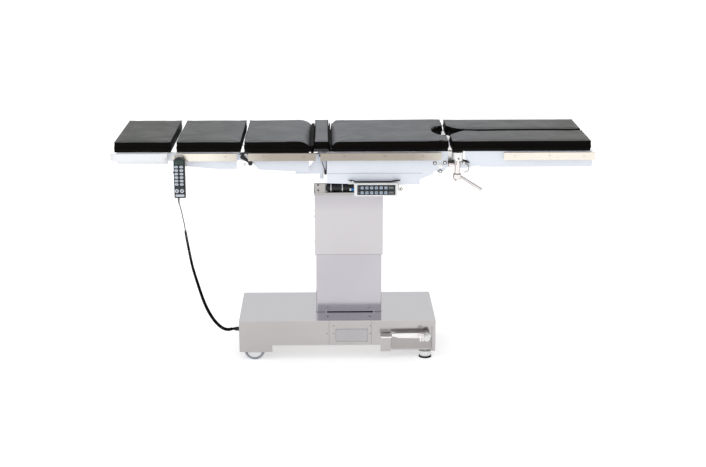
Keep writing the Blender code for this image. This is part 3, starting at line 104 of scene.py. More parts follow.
class Graph:
    """Short calls for the nodes of one material."""

    def __init__(self, name):
        self.material = bpy.data.materials.new(name)
        self.material.use_nodes = True
        self.tree = self.material.node_tree
        self.shader = self.tree.nodes["Principled BSDF"]
        self.place = self.node("ShaderNodeTexCoord").outputs["Object"]

    def node(self, kind, **settings):
        made = self.tree.nodes.new(kind)
        for key, value in settings.items():
            setattr(made, key, value)
        return made

    def join(self, source, target):
        self.tree.links.new(source, target)

    def pattern(self, kind, stretch, sizes, **settings):
        """A texture node over the object's own place, stretched along each axis."""
        vector = self.node("ShaderNodeMapping")
        vector.inputs["Scale"].default_value = stretch
        self.join(self.place, vector.inputs["Vector"])
        made = self.node(kind, **settings)
        for key, value in sizes.items():
            made.inputs[key].default_value = value
        self.join(vector.outputs["Vector"], made.inputs["Vector"])
        return made

    def noise(self, scale, detail=3.0, rough=0.55, twist=0.0, stretch=(1, 1, 1)):
        sizes = {"Scale": scale, "Detail": detail, "Roughness": rough, "Distortion": twist}
        return self.pattern("ShaderNodeTexNoise", stretch, sizes).outputs["Fac"]

    def cells(self, scale):
        made = self.pattern("ShaderNodeTexVoronoi", (1, 1, 1), {"Scale": scale}, feature="DISTANCE_TO_EDGE")
        return made.outputs["Distance"]

    def spread(self, value, low, high, to_low=0.0, to_high=1.0):
        made = self.node("ShaderNodeMapRange")
        for key, number in (("From Min", low), ("From Max", high), ("To Min", to_low), ("To Max", to_high)):
            made.inputs[key].default_value = number
        self.join(value, made.inputs["Value"])
        return made.outputs["Result"]

    def sums(self, operation, first, second):
        made = self.node("ShaderNodeMath", operation=operation)
        for socket, value in zip(made.inputs, (first, second)):
            if isinstance(value, (int, float)):
                socket.default_value = value
            else:
                self.join(value, socket)
        return made.outputs["Value"]

    def along(self, axis):
        """How far a place lies along one of the world's axes, at rest."""
        made = self.node("ShaderNodeSeparateXYZ")
        self.join(self.place, made.inputs["Vector"])
        return made.outputs[axis]

    def mixed(self, share, first, second):
        made = self.node("ShaderNodeMix", data_type="RGBA")
        self.join(share, made.inputs["Factor"])
        for socket, value in ((made.inputs[6], first), (made.inputs[7], second)):
            if isinstance(value, tuple):
                socket.default_value = (*value, 1)
            else:
                self.join(value, socket)
        return made.outputs[2]

    def edge(self, radius):
        """1 on sharp edges and 0 on flat faces, and the rounded normal."""
        rounded = self.node("ShaderNodeBevel", samples=4)
        rounded.inputs["Radius"].default_value = radius
        facing = self.node("ShaderNodeNewGeometry").outputs["Normal"]
        dot = self.node("ShaderNodeVectorMath", operation="DOT_PRODUCT")
        self.join(rounded.outputs["Normal"], dot.inputs[0])
        self.join(facing, dot.inputs[1])
        return self.spread(dot.outputs["Value"], 0.995, 0.8), rounded.outputs["Normal"]

    def bump(self, height, depth, normal=None):
        made = self.node("ShaderNodeBump")
        made.inputs["Distance"].default_value = depth
        made.inputs["Strength"].default_value = 1.0
        self.join(height, made.inputs["Height"])
        if normal is not None:
            self.join(normal, made.inputs["Normal"])
        return made.outputs["Normal"]

    def finish(self, colour, roughness=None, normal=None, **fixed):
        """Wires and sets the shader's sockets, and gives the material."""
        for key, value in (("Base Color", colour), ("Roughness", roughness), ("Normal", normal)):
            if value:
                self.join(value, self.shader.inputs[key])
        for key, value in fixed.items():
            self.shader.inputs[key.replace("_", " ")].default_value = value
        return self.material


BRUSH_LINES = 900.0
BRUSH_STRETCH = 0.012


def brushed(name, light, dark, along, rough, ends=None, zones=()):
    """Sheet metal brushed along one axis, with drifting tone, faint scuffs and worn bright edges.

    ends is a lighter tone that takes over towards both ends of the table: a painted reflection. Each zone is
    an axis, the places where it starts and is full, and its tone; the zones in use paint a reflection on the
    base's top and shade on the column's top."""
    g = Graph(name)
    stretch = [BRUSH_LINES * BRUSH_STRETCH if i == along else BRUSH_LINES for i in range(3)]
    grain = g.noise(1.0, 2.0, 0.6, stretch=stretch)
    drift = g.noise(3.2, 2.0, 0.5, 0.4)
    scuffs = g.noise(9.0, 2.0, 0.5)
    tone = g.sums("ADD", g.spread(grain, 0.3, 0.7, 0.0, 0.3), g.spread(drift, 0.35, 0.65, 0.0, 0.7))
    worn, normal = g.edge(0.0008)
    sheet = g.mixed(tone, dark, light)
    if ends:
        away = g.sums("ABSOLUTE", g.sums("SUBTRACT", g.along(0), RAIL_SHADE_X), 0.0)
        sheet = g.mixed(g.spread(away, 0.3, 0.56), sheet, ends)
    for axis, start, full, other in zones:
        sheet = g.mixed(g.spread(g.along(axis), start, full), sheet, other)
    bright = tuple(min(1, c * 1.12) for c in ends or light)
    colour = g.mixed(g.spread(worn, 0, 1, 0, 0.5), sheet, bright)
    uneven = g.sums("ADD", g.spread(grain, 0.3, 0.7, -0.01, 0.01), g.spread(scuffs, 0.35, 0.75, -0.01, 0.02))
    return g.finish(colour, g.sums("ADD", uneven, rough), g.bump(grain, 0.000003, normal), Metallic=1.0)


def painted(name, light, dark, rough, texture=700.0, depth=0.00002, coat=0.0, specular=0.5, zone=None):
    """Powder coat or moulded plastic: a fine skin, dust in its tone, and edges rubbed brighter.

    zone is an axis, a place on it and the colour of all that lies beyond that place."""
    g = Graph(name)
    skin = g.noise(texture, 2.0, 0.6)
    drift = g.noise(5.0, 3.0, 0.6, 0.3)
    marks = g.noise(55.0, 5.0, 0.7)
    worn, normal = g.edge(0.0007)
    tone = g.sums("ADD", g.spread(drift, 0.35, 0.65, 0.0, 0.7), g.spread(skin, 0.3, 0.7, 0.0, 0.3))
    rubbed = tuple(min(1, c * 1.25 + 0.01) for c in light)
    colour = g.mixed(g.spread(worn, 0, 1, 0, 0.45), g.mixed(tone, dark, light), rubbed)
    if zone:
        axis, start, other = zone
        colour = g.mixed(g.spread(g.along(axis), start, start + 0.0004), colour, other)
    roughness = g.sums("ADD", g.spread(marks, 0.35, 0.7, -0.05, 0.07), rough)
    coats = {"Coat_Weight": coat, "Coat_Roughness": 0.25} if coat else {}
    return g.finish(colour, roughness, g.bump(skin, depth, normal), Specular_IOR_Level=specular, **coats)


def polished(name, light, dark, rough, rim=None):
    """Bright plating: soft cloud in the gloss and fine wiping marks.

    rim is the tone of what faces neither the front nor the back: a painted dark reflection, as if it mirrored
    a dark room."""
    g = Graph(name)
    wipes = g.noise(1.0, 3.0, 0.6, stretch=(60, 60, 900))
    drift = g.noise(24.0, 3.0, 0.6)
    _, normal = g.edge(0.0005)
    tone = g.mixed(g.spread(drift, 0.35, 0.65), dark, light)
    # painted reflection: faces turned neither to the front nor to the back take the dark rim tone
    if rim:
        split = g.node("ShaderNodeSeparateXYZ")
        g.join(g.node("ShaderNodeTexCoord").outputs["Normal"], split.inputs["Vector"])
        tone = g.mixed(g.spread(g.sums("ABSOLUTE", split.outputs["Y"], 0.0), 0.35, 0.7), rim, tone)
    roughness = g.sums("ADD", g.spread(wipes, 0.3, 0.7, -0.03, 0.05), rough)
    return g.finish(tone, roughness, g.bump(drift, 0.00003, normal), Metallic=1.0)


def vinyl(name, light, dark, rough, specular, wrinkle, head=None, foot=None):
    """Stretched upholstery vinyl: pebbled grain, faint stretch marks and a rubbed sheen.

    head and foot are the darker tones that it drifts to at the table's two ends, where it is also duller; the
    lighter middle is a painted sheen."""
    g = Graph(name)
    pebbles = g.cells(620.0)
    pores = g.noise(900.0, 2.0, 0.6)
    soft = g.noise(9.0, 3.0, 0.55, 0.6, stretch=(1, 1, 1.4))
    drift = g.noise(3.0, 2.0, 0.5)
    tone = g.sums("ADD", g.spread(drift, 0.35, 0.65, 0.0, 0.6), g.spread(pores, 0.3, 0.7, 0.0, 0.4))
    skin = g.mixed(tone, dark, light)
    # painted sheen: the tops are lighter in the middle of the table and darker towards both ends
    if head:
        skin = g.mixed(g.spread(g.along(0), -0.9, -0.2), head, skin)
        skin = g.mixed(g.spread(g.along(0), 0.2, 1.0), skin, foot)
    roughness = g.sums("ADD", g.spread(soft, 0.35, 0.65, -0.05, 0.05), rough)
    normal = g.bump(soft, wrinkle, g.bump(g.spread(pebbles, 0.0, 0.25), 0.00008))
    sheen = {"Sheen_Weight": 0.1 * specular, "Sheen_Roughness": 0.5}
    made = g.finish(skin, roughness, normal, Specular_IOR_Level=specular, **sheen)
    if head:
        less = g.sums(
            "ADD", g.spread(g.along(0), -1.0, -0.3, 0.26, 0.0), g.spread(g.along(0), 0.3, 1.0, 0.0, 0.18)
        )
        g.join(g.sums("SUBTRACT", specular, less), g.shader.inputs["Specular IOR Level"])
    return made


def rubber(name, light, dark, rough, texture=500.0, specular=0.3):
    """Rubber or a cable's skin: fine grain and dust."""
    g = Graph(name)
    skin = g.noise(texture, 3.0, 0.65)
    dust = g.noise(30.0, 4.0, 0.65)
    _, normal = g.edge(0.0008)
    colour = g.mixed(g.spread(dust, 0.35, 0.7), dark, light)
    roughness = g.sums("ADD", g.spread(skin, 0.3, 0.7, -0.06, 0.06), rough)
    return g.finish(colour, roughness, g.bump(skin, 0.00005, normal), Specular_IOR_Level=specular)


# Black painted shade on the tops of frames and covers just under the pads, where the gaps between parts lie
# in shade.
PAINTED_SHADE_UNDER_PAD = (0.02, 0.02, 0.02)

LOOKS = {
    # The base's top is painted much lighter than its sides: a painted reflection of the bright backdrop.
    "base steel": brushed(
        "base_steel", (0.5, 0.475, 0.47), (0.45, 0.43, 0.425), 0, 0.17,
        zones=((2, 0.1792, 0.1798, (0.86, 0.85, 0.885)),),
    ),
    # A darker steel for the back of the pedal's recess: painted shade.
    "recess shade steel": brushed("recess_shade_steel", (0.42, 0.4, 0.39), (0.37, 0.35, 0.345), 0, 0.3),
    "plate": brushed("plate_steel", (0.47, 0.46, 0.465), (0.42, 0.41, 0.42), 0, 0.3),
    # The column is painted darker towards its top, under the table: painted shade.
    "column steel": brushed(
        "column_steel", (0.585, 0.565, 0.578), (0.54, 0.52, 0.535), 2, 0.17,
        zones=((2, 0.64, 0.7, (0.49, 0.47, 0.505)),),
    ),
    "column foot steel": brushed("column_foot_steel", (0.52, 0.5, 0.535), (0.485, 0.465, 0.5), 2, 0.17),
    "cover": painted("cover_paint", (0.86, 0.9, 0.97), (0.82, 0.86, 0.93), 0.34, coat=0.2),
    # Section paint and frame paint turn black at the top: painted shade under the pads.
    "section paint": painted(
        "section_paint", (0.86, 0.9, 0.97), (0.82, 0.86, 0.93), 0.34, coat=0.2, zone=(2, 0.9386, PAINTED_SHADE_UNDER_PAD)
    ),
    # A whiter copy of the section paint for the head frame: painted light at the head end.
    "head lit paint": painted("head_lit_paint", (0.93, 0.95, 0.97), (0.9, 0.92, 0.95), 0.34, coat=0.2),
    "frame paint": painted(
        "frame_paint", (0.84, 0.87, 0.94), (0.79, 0.83, 0.9), 0.4, zone=(2, 0.925, PAINTED_SHADE_UNDER_PAD)
    ),
    # The rails are painted lighter towards both ends of the table: painted reflection.
    "rail": brushed(
        "rail_steel", (0.42, 0.375, 0.325), (0.365, 0.325, 0.28), 0, 0.28, ends=(0.87, 0.82, 0.73)
    ),
    "chrome": polished("chrome_plate", (0.86, 0.85, 0.84), (0.76, 0.75, 0.74), 0.12),
    # The lever steel's sideways faces get a painted dark reflection.
    "lever steel": polished("lever_steel", (0.9, 0.86, 0.84), (0.8, 0.76, 0.74), 0.22, (0.2, 0.165, 0.135)),
    # A dark brownish plating for small fittings.
    "dark brown steel": polished("dark_brown_steel", (0.3, 0.25, 0.19), (0.21, 0.175, 0.135), 0.3),
    "satin": polished("satin_plate", (0.91, 0.9, 0.89), (0.84, 0.83, 0.82), 0.34),
    "frame steel": brushed("frame_steel", (0.5, 0.485, 0.475), (0.43, 0.415, 0.41), 1, 0.4),
    "dark steel": brushed("dark_steel", (0.16, 0.155, 0.15), (0.1, 0.1, 0.1), 0, 0.4),
    # The pads' tops and sides are one black vinyl: the top is painted lighter as a painted sheen, the sides
    # nearly black as painted shade.
    "vinyl lit top": vinyl(
        "vinyl_lit_top", (0.088, 0.094, 0.11), (0.075, 0.08, 0.094), 0.36, 0.46, 0.0005,
        (0.04, 0.046, 0.036), (0.06, 0.06, 0.054),
    ),
    "vinyl shaded side": vinyl("vinyl_shaded_side", (0.004, 0.003, 0.0022), (0.0022, 0.0017, 0.0012), 0.5, 0.05, 0.0005),
    "welt": vinyl("vinyl_welt", (0.004, 0.0032, 0.0026), (0.0024, 0.002, 0.0016), 0.55, 0.04, 0.0002),
    "board": painted("board_laminate", (0.006, 0.005, 0.0045), (0.004, 0.0035, 0.003), 0.55, specular=0.08),
    "rubber": rubber("wheel_rubber", (0.1, 0.1, 0.11), (0.06, 0.06, 0.065), 0.6),
    "grey tyre": rubber("tyre_grey", (0.36, 0.38, 0.42), (0.27, 0.29, 0.32), 0.5),
    "cord": rubber("cord_rubber", (0.005, 0.005, 0.004), (0.003, 0.003, 0.003), 0.6, 1500.0, 0.06),
    "sleeve": rubber("cord_sleeve", (0.21, 0.18, 0.155), (0.16, 0.14, 0.12), 0.55, 1500.0, 0.15),
    "black plastic": painted(
        "black_plastic", (0.022, 0.022, 0.023), (0.013, 0.013, 0.014), 0.4, 900.0, 0.00004, specular=0.35
    ),
    "handset case": painted(
        "handset_case", (0.03, 0.034, 0.036), (0.02, 0.023, 0.025), 0.42, 900.0, 0.00004, specular=0.3,
        zone=(1, -0.26, (0.7, 0.66, 0.6)),
    ),
    "panel case": painted(
        "panel_case", (0.86, 0.87, 0.88), (0.82, 0.83, 0.84), 0.4, 900.0, zone=(2, 0.8076, (0.74, 0.78, 0.85))
    ),
    "white plastic": painted("white_plastic", (0.84, 0.84, 0.83), (0.78, 0.78, 0.77), 0.4, 900.0),
    "pale grey plastic": painted("pale_grey_plastic", (0.62, 0.62, 0.63), (0.54, 0.54, 0.55), 0.42, 900.0),
    "keypad": painted("keypad_film", (0.03, 0.032, 0.035), (0.02, 0.022, 0.024), 0.45, 1200.0, specular=0.3),
    "key": painted("key_caps", (0.42, 0.5, 0.62), (0.35, 0.43, 0.54), 0.45, 1400.0),
    "pale key": painted("pale_key_caps", (0.62, 0.67, 0.74), (0.54, 0.6, 0.67), 0.45, 1400.0),
    "grey key": painted("grey_key_caps", (0.15, 0.155, 0.16), (0.11, 0.115, 0.12), 0.45, 1400.0),
    "window": painted("handset_window", (0.03, 0.055, 0.045), (0.022, 0.04, 0.034), 0.35, 1400.0),
    "green lamp": painted("green_lamp", (0.03, 0.15, 0.1), (0.02, 0.11, 0.075), 0.3, 1400.0),
    "blue plastic": painted("blue_plastic", (0.01, 0.28, 0.72), (0.01, 0.22, 0.6), 0.35, 900.0),
    "dark gap": painted("dark_gap", (0.012, 0.012, 0.013), (0.008, 0.008, 0.009), 0.7, 900.0, specular=0.1),
    "seam line": painted("seam_line", (0.3, 0.31, 0.34), (0.24, 0.25, 0.28), 0.6, 900.0, specular=0.2),
}

NODE_LOOKS = {
    "base steel": ["base_cover"],
    "column steel": ["column_upper_cover"],
    "column foot steel": ["column_lower_cover"],
    "chrome": ["lift_rod"],
    "lever steel": [f"clamp_lever_{s}" for s, _ in SIDES],
    "satin": ["brake_pedal", *(f"leg_bracket_{s}" for s, _ in SIDES)],
    "frame steel": [
        "base_chassis", "lift_cylinder", "column_head", "tilt_cradle",
        *(f"caster_fork_{s}" for s, _ in SIDES),
    ],
    "cover": [f"leg_frame_{s}" for s, _ in SIDES],
    "section paint": ["upper_back_frame", *(f"seat_cover_{s}" for s, _ in SIDES)],
    "head lit paint": ["head_frame"],
    "frame paint": ["seat_frame", "lower_back_frame", "bridge_lift"],
    "rail": [
        f"{n}_rail_{s}" for n in ("seat", "lower_back", "upper_back", "leg") for s, _ in SIDES
    ],
    "board": [
        "seat_board", "lower_back_board", "upper_back_board", "head_board",
        *(f"leg_board_{s}" for s, _ in SIDES),
    ],
    "grey tyre": [f"{n}_{s}" for n in ("fixed_wheel", "caster_wheel") for s, _ in SIDES],
    "white plastic": [f"lock_foot_{s}" for s, _ in SIDES],
    "black plastic": ["tilt_motor", "cord_inlet", "latch_lever"],
    "handset case": ["handset"],
    "panel case": ["control_panel"],
    "keypad": ["control_keys", "handset_keys"],
}


def dress_nodes():
    for look, names in NODE_LOOKS.items():
        for name in names:
            slots = frame["nodes"][name].data.materials
            slots.clear()
            slots.append(LOOKS[look])


dress_nodes()


# Making pieces


def new_piece(name, carrier, vertices, faces, looks, smooth=40.0):
    """A mesh object on one body, with one or several looks."""
    mesh = bpy.data.meshes.new(name)
    mesh.from_pydata([tuple(v) for v in vertices], [], faces)
    work = bmesh.new()
    work.from_mesh(mesh)
    bmesh.ops.remove_doubles(work, verts=work.verts, dist=1e-6)
    bmesh.ops.recalc_face_normals(work, faces=work.faces)
    work.to_mesh(mesh)
    work.free()
    for look in looks:
        mesh.materials.append(LOOKS[look])
    if smooth:
        mesh.polygons.foreach_set("use_smooth", [True] * len(mesh.polygons))
        mesh.set_sharp_from_angle(angle=math.radians(smooth))
    item = bpy.data.objects.new(name, mesh)
    bpy.context.scene.collection.objects.link(item)
    if carrier:
        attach(item, carrier)
    return item


def spoke(side, other, turn):
    """A direction at this angle between two that are square to each other."""
    return side * math.cos(turn) + other * math.sin(turn)


class Shape:
    """Collects closed solids into one piece. Each call that adds a solid gives the shape back."""

    def __init__(self):
        self.vertices, self.faces = [], []

    def add(self, vertices, faces):
        start = len(self.vertices)
        self.vertices += [Vector(v) for v in vertices]
        self.faces += [tuple(start + i for i in face) for face in faces]
        return self

    def stacked(self, rows, closed=False):
        """A skin over rows of points. Its two ends are filled, unless the last row joins the first."""
        count, sides = len(rows), len(rows[0])
        faces = []
        for row in range(count if closed else count - 1):
            a, b = row * sides, (row + 1) % count * sides
            for i in range(sides):
                j = (i + 1) % sides
                faces.append((a + i, a + j, b + j, b + i))
        if not closed:
            faces.append(tuple(range(sides))[::-1])
            faces.append(tuple(range((count - 1) * sides, count * sides)))
        return self.add([point for row in rows for point in row], faces)

    def turned(self, foot, axis, rings, sides=20, hexagons=0):
        """A solid of rings (radius, height), in millimetres, about an axis through foot. The last
        rings may be hexagons."""
        foot, axis = Vector(foot), Vector(axis).normalized()
        side = axis.orthogonal().normalized()
        other = axis.cross(side)
        turns = [math.tau * i / sides for i in range(sides)]
        rows = []
        for left, (radius, height) in zip(range(len(rings), 0, -1), rings):
            middle, reach = foot + axis * (height / 1000), radius / 1000
            row = []
            for turn in turns:
                flat = math.cos((turn + math.pi / 6) % (math.pi / 3) - math.pi / 6) if left <= hexagons else 1
                row.append(middle + spoke(side, other, turn) * (reach / flat))
            rows.append(row)
        return self.stacked(rows)

    def socket_screw(self, foot, axis, radius, height):
        """A cap screw, in millimetres: a rounded head with a hexagonal socket sunk in it."""
        return self.turned(foot, axis, [
            (radius, 0), (radius, height * 0.75), (radius * 0.88, height),
            (radius * 0.52, height), (radius * 0.5, height * 0.35),
        ], 24, hexagons=2)

    def plate(self, low, high, edge):
        """A flat block that faces along Y, with round corners and chamfered rims."""
        low, high = Vector(low), Vector(high)
        corners = (
            (high.x - edge, high.z - edge), (low.x + edge, high.z - edge),
            (low.x + edge, low.z + edge), (high.x - edge, low.z + edge),
        )
        chamfer = min(edge, (high.y - low.y) * 0.3)
        rows = []
        for y, reach in (
            (low.y, edge - chamfer), (low.y + chamfer, edge),
            (high.y - chamfer, edge), (high.y, edge - chamfer),
        ):
            rows.append([
                (x + math.cos(turn) * reach, y, z + math.sin(turn) * reach)
                for quarter, (x, z) in enumerate(corners)
                for turn in (math.radians(90 * quarter + 30 * step) for step in range(4))
            ])
        return self.stacked(rows)

    def tile(self, place, half, proud, edge, sink=0.2):
        """A plate on a front face, in millimetres: half its width and height, how far it stands
        proud, its corners' radius, and how far it goes in. place is in metres."""
        x, y, z = place
        wide, high, proud, edge, sink = (size / 1000 for size in (*half, proud, edge, sink))
        return self.plate((x - wide, y - proud, z - high), (x + wide, y + sink, z + high), edge)

    def tube(self, points, radius, sides=8, closed=False):
        """A tube along points, in metres; radius is one number or one for each point."""
        points = [Vector(p) for p in points]
        count = len(points)
        radii = radius if isinstance(radius, list) else [radius] * count
        rows, side = [], None
        for i, point in enumerate(points):
            if closed:
                along = points[(i + 1) % count] - points[i - 1]
            else:
                along = points[min(i + 1, count - 1)] - points[max(i - 1, 0)]
            along.normalize()
            side = (side - along * side.dot(along) if side else along.orthogonal()).normalized()
            other = along.cross(side)
            rows.append([point + spoke(side, other, math.tau * k / sides) * radii[i] for k in range(sides)])
        return self.stacked(rows, closed)

    def piece(self, name, carrier, look, slot=None, smooth=40.0):
        return new_piece(name, carrier, self.vertices, self.faces, (look,), smooth)


# The handset's cord. It leaves the handset in a straight sleeve, curls down and goes into the base

SLEEVE_ROUTE = [
    (-0.73, -0.272, 0.7543), (-0.73, -0.272, 0.743), (-0.7265, -0.272, 0.721), (-0.72, -0.271, 0.692),
    (-0.7145, -0.2694, 0.66), (-0.7105, -0.267, 0.637), (-0.7083, -0.2645, 0.6155),
]
CURL_ROUTE = [
    (-0.7064, -0.26235, 0.597), (-0.702, -0.258, 0.562), (-0.697, -0.253, 0.526), (-0.69, -0.247, 0.478),
    (-0.682, -0.24, 0.433), (-0.671, -0.232, 0.386), (-0.659, -0.223, 0.338), (-0.645, -0.212, 0.285),
    (-0.629, -0.2, 0.238), (-0.61, -0.187, 0.196), (-0.59, -0.175, 0.164), (-0.568, -0.162, 0.14),
    (-0.55, -0.148, 0.129), (-0.538, -0.137, 0.126), (-0.529, -0.133, 0.127), (-0.5169, -0.133, 0.127),
]
WIRE = 0.0038
CURL_REACH = (0.0036, 0.0054)
CURL_PITCH = 0.0047
CURL_STEPS = 14
CURL_SLOW = 0.2
CURL_IN_TURNS = 2.5
CURL_OUT_TURNS = 2.2
CURL_PLAIN_END = 10
CURL_GROWTH = 0.7
SLEEVE_RADIUS = 0.0023


def smooth_line(points, spacing):
    """A Catmull-Rom line through points, cut into even steps."""
    points = [Vector(p) for p in points]
    padded = [points[0] * 2 - points[1], *points, points[-1] * 2 - points[-2]]
    fine = []
    for i in range(1, len(padded) - 2):
        a, b, c, d = padded[i - 1:i + 3]
        for step in range(24):
            t = step / 24
            bend, twist = 2 * a - 5 * b + 4 * c - d, 3 * b - a - 3 * c + d
            fine.append(0.5 * (2 * b + (c - a) * t + bend * t**2 + twist * t**3))
    fine.append(points[-1])
    reach = [0.0]
    for a, b in zip(fine, fine[1:]):
        reach.append(reach[-1] + (b - a).length)
    count = max(2, round(reach[-1] / spacing))
    even, j = [], 0
    for k in range(count + 1):
        want = reach[-1] * k / count
        while j < len(fine) - 2 and reach[j + 1] < want:
            j += 1
        t = (want - reach[j]) / max(reach[j + 1] - reach[j], 1e-9)
        even.append(fine[j].lerp(fine[j + 1], min(max(t, 0), 1)))
    return even


def cord_line():
    """The wire's own centreline: straight in the sleeve, then a helix about the route."""
    spacing = CURL_PITCH / CURL_STEPS
    line = smooth_line(SLEEVE_ROUTE + CURL_ROUTE, spacing)
    total = len(line) - 1
    straight = (Vector(SLEEVE_ROUTE[-1]) - line[0]).length
    start = next(i for i, p in enumerate(line) if (p - line[0]).length > straight)
    side, wire, turn = Y.copy(), [], 0.0
    for i, point in enumerate(line):
        along = (line[min(i + 1, total)] - line[max(i - 1, 0)]).normalized()
        side = (side - along * side.dot(along)).normalized()
        other = along.cross(side)
        into = max((i - start) / (CURL_IN_TURNS * CURL_STEPS), 0)
        out = max((total - CURL_PLAIN_END - i) / (CURL_OUT_TURNS * CURL_STEPS), 0)
        ramp = min(into, 1, out)
        ramp = ramp * ramp * (3 - 2 * ramp)
        turn += math.tau * (CURL_SLOW + (1 - CURL_SLOW) * ramp) / CURL_STEPS
        if i < start and i % 6:
            continue
        swell = min(max((i - start) / (CURL_GROWTH * (total - start)), 0), 1)
        reach = ramp * (CURL_REACH[0] + (CURL_REACH[1] - CURL_REACH[0]) * swell)
        wire.append(point + spoke(side, other, turn) * reach)
    return wire


def build_cord():
    wire = cord_line()
    cord = Shape().tube(wire, WIRE / 2, 7).piece("handset_cord", None, "cord", "cord_rubber", smooth=80)
    sleeve = Shape().tube(smooth_line(SLEEVE_ROUTE, 0.006)[3:], SLEEVE_RADIUS, 12)
    sleeve = sleeve.piece("cord_sleeve", None, "sleeve", "cord_rubber", smooth=60)
    top = SLEEVE_ROUTE[0]
    for item in (cord, sleeve):
        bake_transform(item)
    collar = [(2.3, -26), (2.7, -24)]
    for k in range(6):
        reach, rise = 2.8 + 0.28 * k, 3.6 * k - 22
        collar += [(reach, rise), (reach + 0.5, rise + 0.6), (reach + 0.5, rise + 2), (reach, rise + 2.6)]
    relief = Shape().turned(top, Z, collar + [(5, -0.3), (5, 0)], 18)
    relief = relief.piece("cord_relief", "handset", "sleeve", "black_plastic")
    nut = Shape().turned(CURL_ROUTE[-1], -X, [
        (7.4, -4), (7.4, 2.2), (6.4, 3.2), (6, 3.4), (5.6, 8), (4.8, 14), (3.8, 19), (2.6, 20),
    ], 18)
    nut = nut.piece("cord_gland", "base", "cord", "black_plastic")
    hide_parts("cord_curl")
    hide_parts("cord_lead")


build_cord()


# Studio


WORLD_LIGHT = 0.64
FLOOR_GLOW = 0.51


def make_studio():
    scene = bpy.context.scene
    scene.view_settings.view_transform = "Standard"
    world = bpy.data.worlds.new("studio")
    scene.world = world
    world.use_nodes = True
    tree = world.node_tree
    tree.nodes.clear()
    place, split, ramp, light, out, shift = (tree.nodes.new("ShaderNode" + kind) for kind in (
        "TexCoord", "SeparateXYZ", "ValToRGB", "Background", "OutputWorld", "MapRange",
    ))
    dim, full = ramp.color_ramp.elements
    dim.position, dim.color = 0.1, (0.95, 0.95, 0.98, 1)
    full.position, full.color = 0.6, (1, 1, 1, 1)
    shift.inputs["From Min"].default_value = -1
    for source, target in (
        (place.outputs["Generated"], split.inputs["Vector"]),
        (split.outputs["Y"], shift.inputs["Value"]),
        (shift.outputs["Result"], ramp.inputs["Fac"]),
        (ramp.outputs["Color"], light.inputs["Color"]),
        (light.outputs["Background"], out.inputs["Surface"]),
    ):
        tree.links.new(source, target)
    light.inputs["Strength"].default_value = WORLD_LIGHT

    floor = Shape().add([(-60, -60, 0), (60, -60, 0), (60, 60, 0), (-60, 60, 0)], [(0, 1, 2, 3)])
    g = Graph("floor_paint")
    colour = g.mixed(g.spread(g.noise(0.8), 0.3, 0.7), (0.87, 0.87, 0.87), (0.89, 0.89, 0.89))
    glow = {"Emission_Color": (1, 1, 1, 1), "Emission_Strength": FLOOR_GLOW}
    LOOKS["floor"] = g.finish(colour, Specular_IOR_Level=0.1, Roughness=0.9, **glow)
    floor.piece("floor", None, "floor")

    def lamp(name, kind, **settings):
        data = bpy.data.lights.new(name, kind)
        for key, value in settings.items():
            setattr(data, key, value)
        item = bpy.data.objects.new(name, data)
        scene.collection.objects.link(item)
        return item

    for name, place, aim, size, power, colour in (
        ("softbox_top", (-0.5, 1.6, 4.0), (0, 0, 0.8), 3.6, 21, (1.0, 0.99, 0.97)),
        ("softbox_front", (-2.6, -4.6, 2.8), (0, 0, 0.6), 2.6, 13, (1.0, 1.0, 1.0)),
    ):
        item = lamp(name, "AREA", shape="SQUARE", size=size, energy=power, color=colour)
        item.location = place
        item.rotation_euler = (Vector(aim) - Vector(place)).to_track_quat("-Z", "Y").to_euler()
    sky = lamp("sky_panel", "SUN", energy=0.36, angle=math.radians(70))
    sky.rotation_euler = (math.radians(24), math.radians(-14), 0)


make_studio()


# Pads: a foam block in a sewn vinyl cover, blown up a little by a cloth run and held to its CAD space

PAD_LOW, PAD_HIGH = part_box("seat_pad")[0].z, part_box("seat_pad")[1].z
SHRINK = 0.001
SWELL = 0.003
ROUND = 0.0048
CORNER = 0.0075
PAD_PITCH = 0.0095
CLOTH_FRAMES = 20
SAG = 0.001
CROWN = 0.0006
CROWN_REACH = 0.07
GATHER_DEPTH = 0.0006
GATHER = 0.07
SEAT_NOTCH_HALF = 0.108
SEAT_NOTCH_DEPTH = 0.053
LEG_CUT = [(0.012, 0.073), (0.03, 0.046), (0.062, 0.024), (0.102, 0.0)]


def steps_between(low, high):
    """Places from low to high: close together at both ends and evenly spaced in between."""
    inner = [low + d for d in (0.0, 0.0035, 0.009)]
    outer = [high - d for d in (0.009, 0.0035, 0.0)]
    count = max(1, round((outer[0] - inner[-1]) / PAD_PITCH))
    middle = [inner[-1] + (outer[0] - inner[-1]) * i / count for i in range(1, count)]
    return inner + middle + outer


def softened(first, second, reach):
    """Two distances from a sharp edge, moved so that the edge is round."""
    a, b = reach - first, reach - second
    if a <= 0 or b <= 0:
        return first, second
    scale = 2 * reach * reach
    return reach - a * math.sqrt(1 - b * b / scale), reach - b * math.sqrt(1 - a * a / scale)


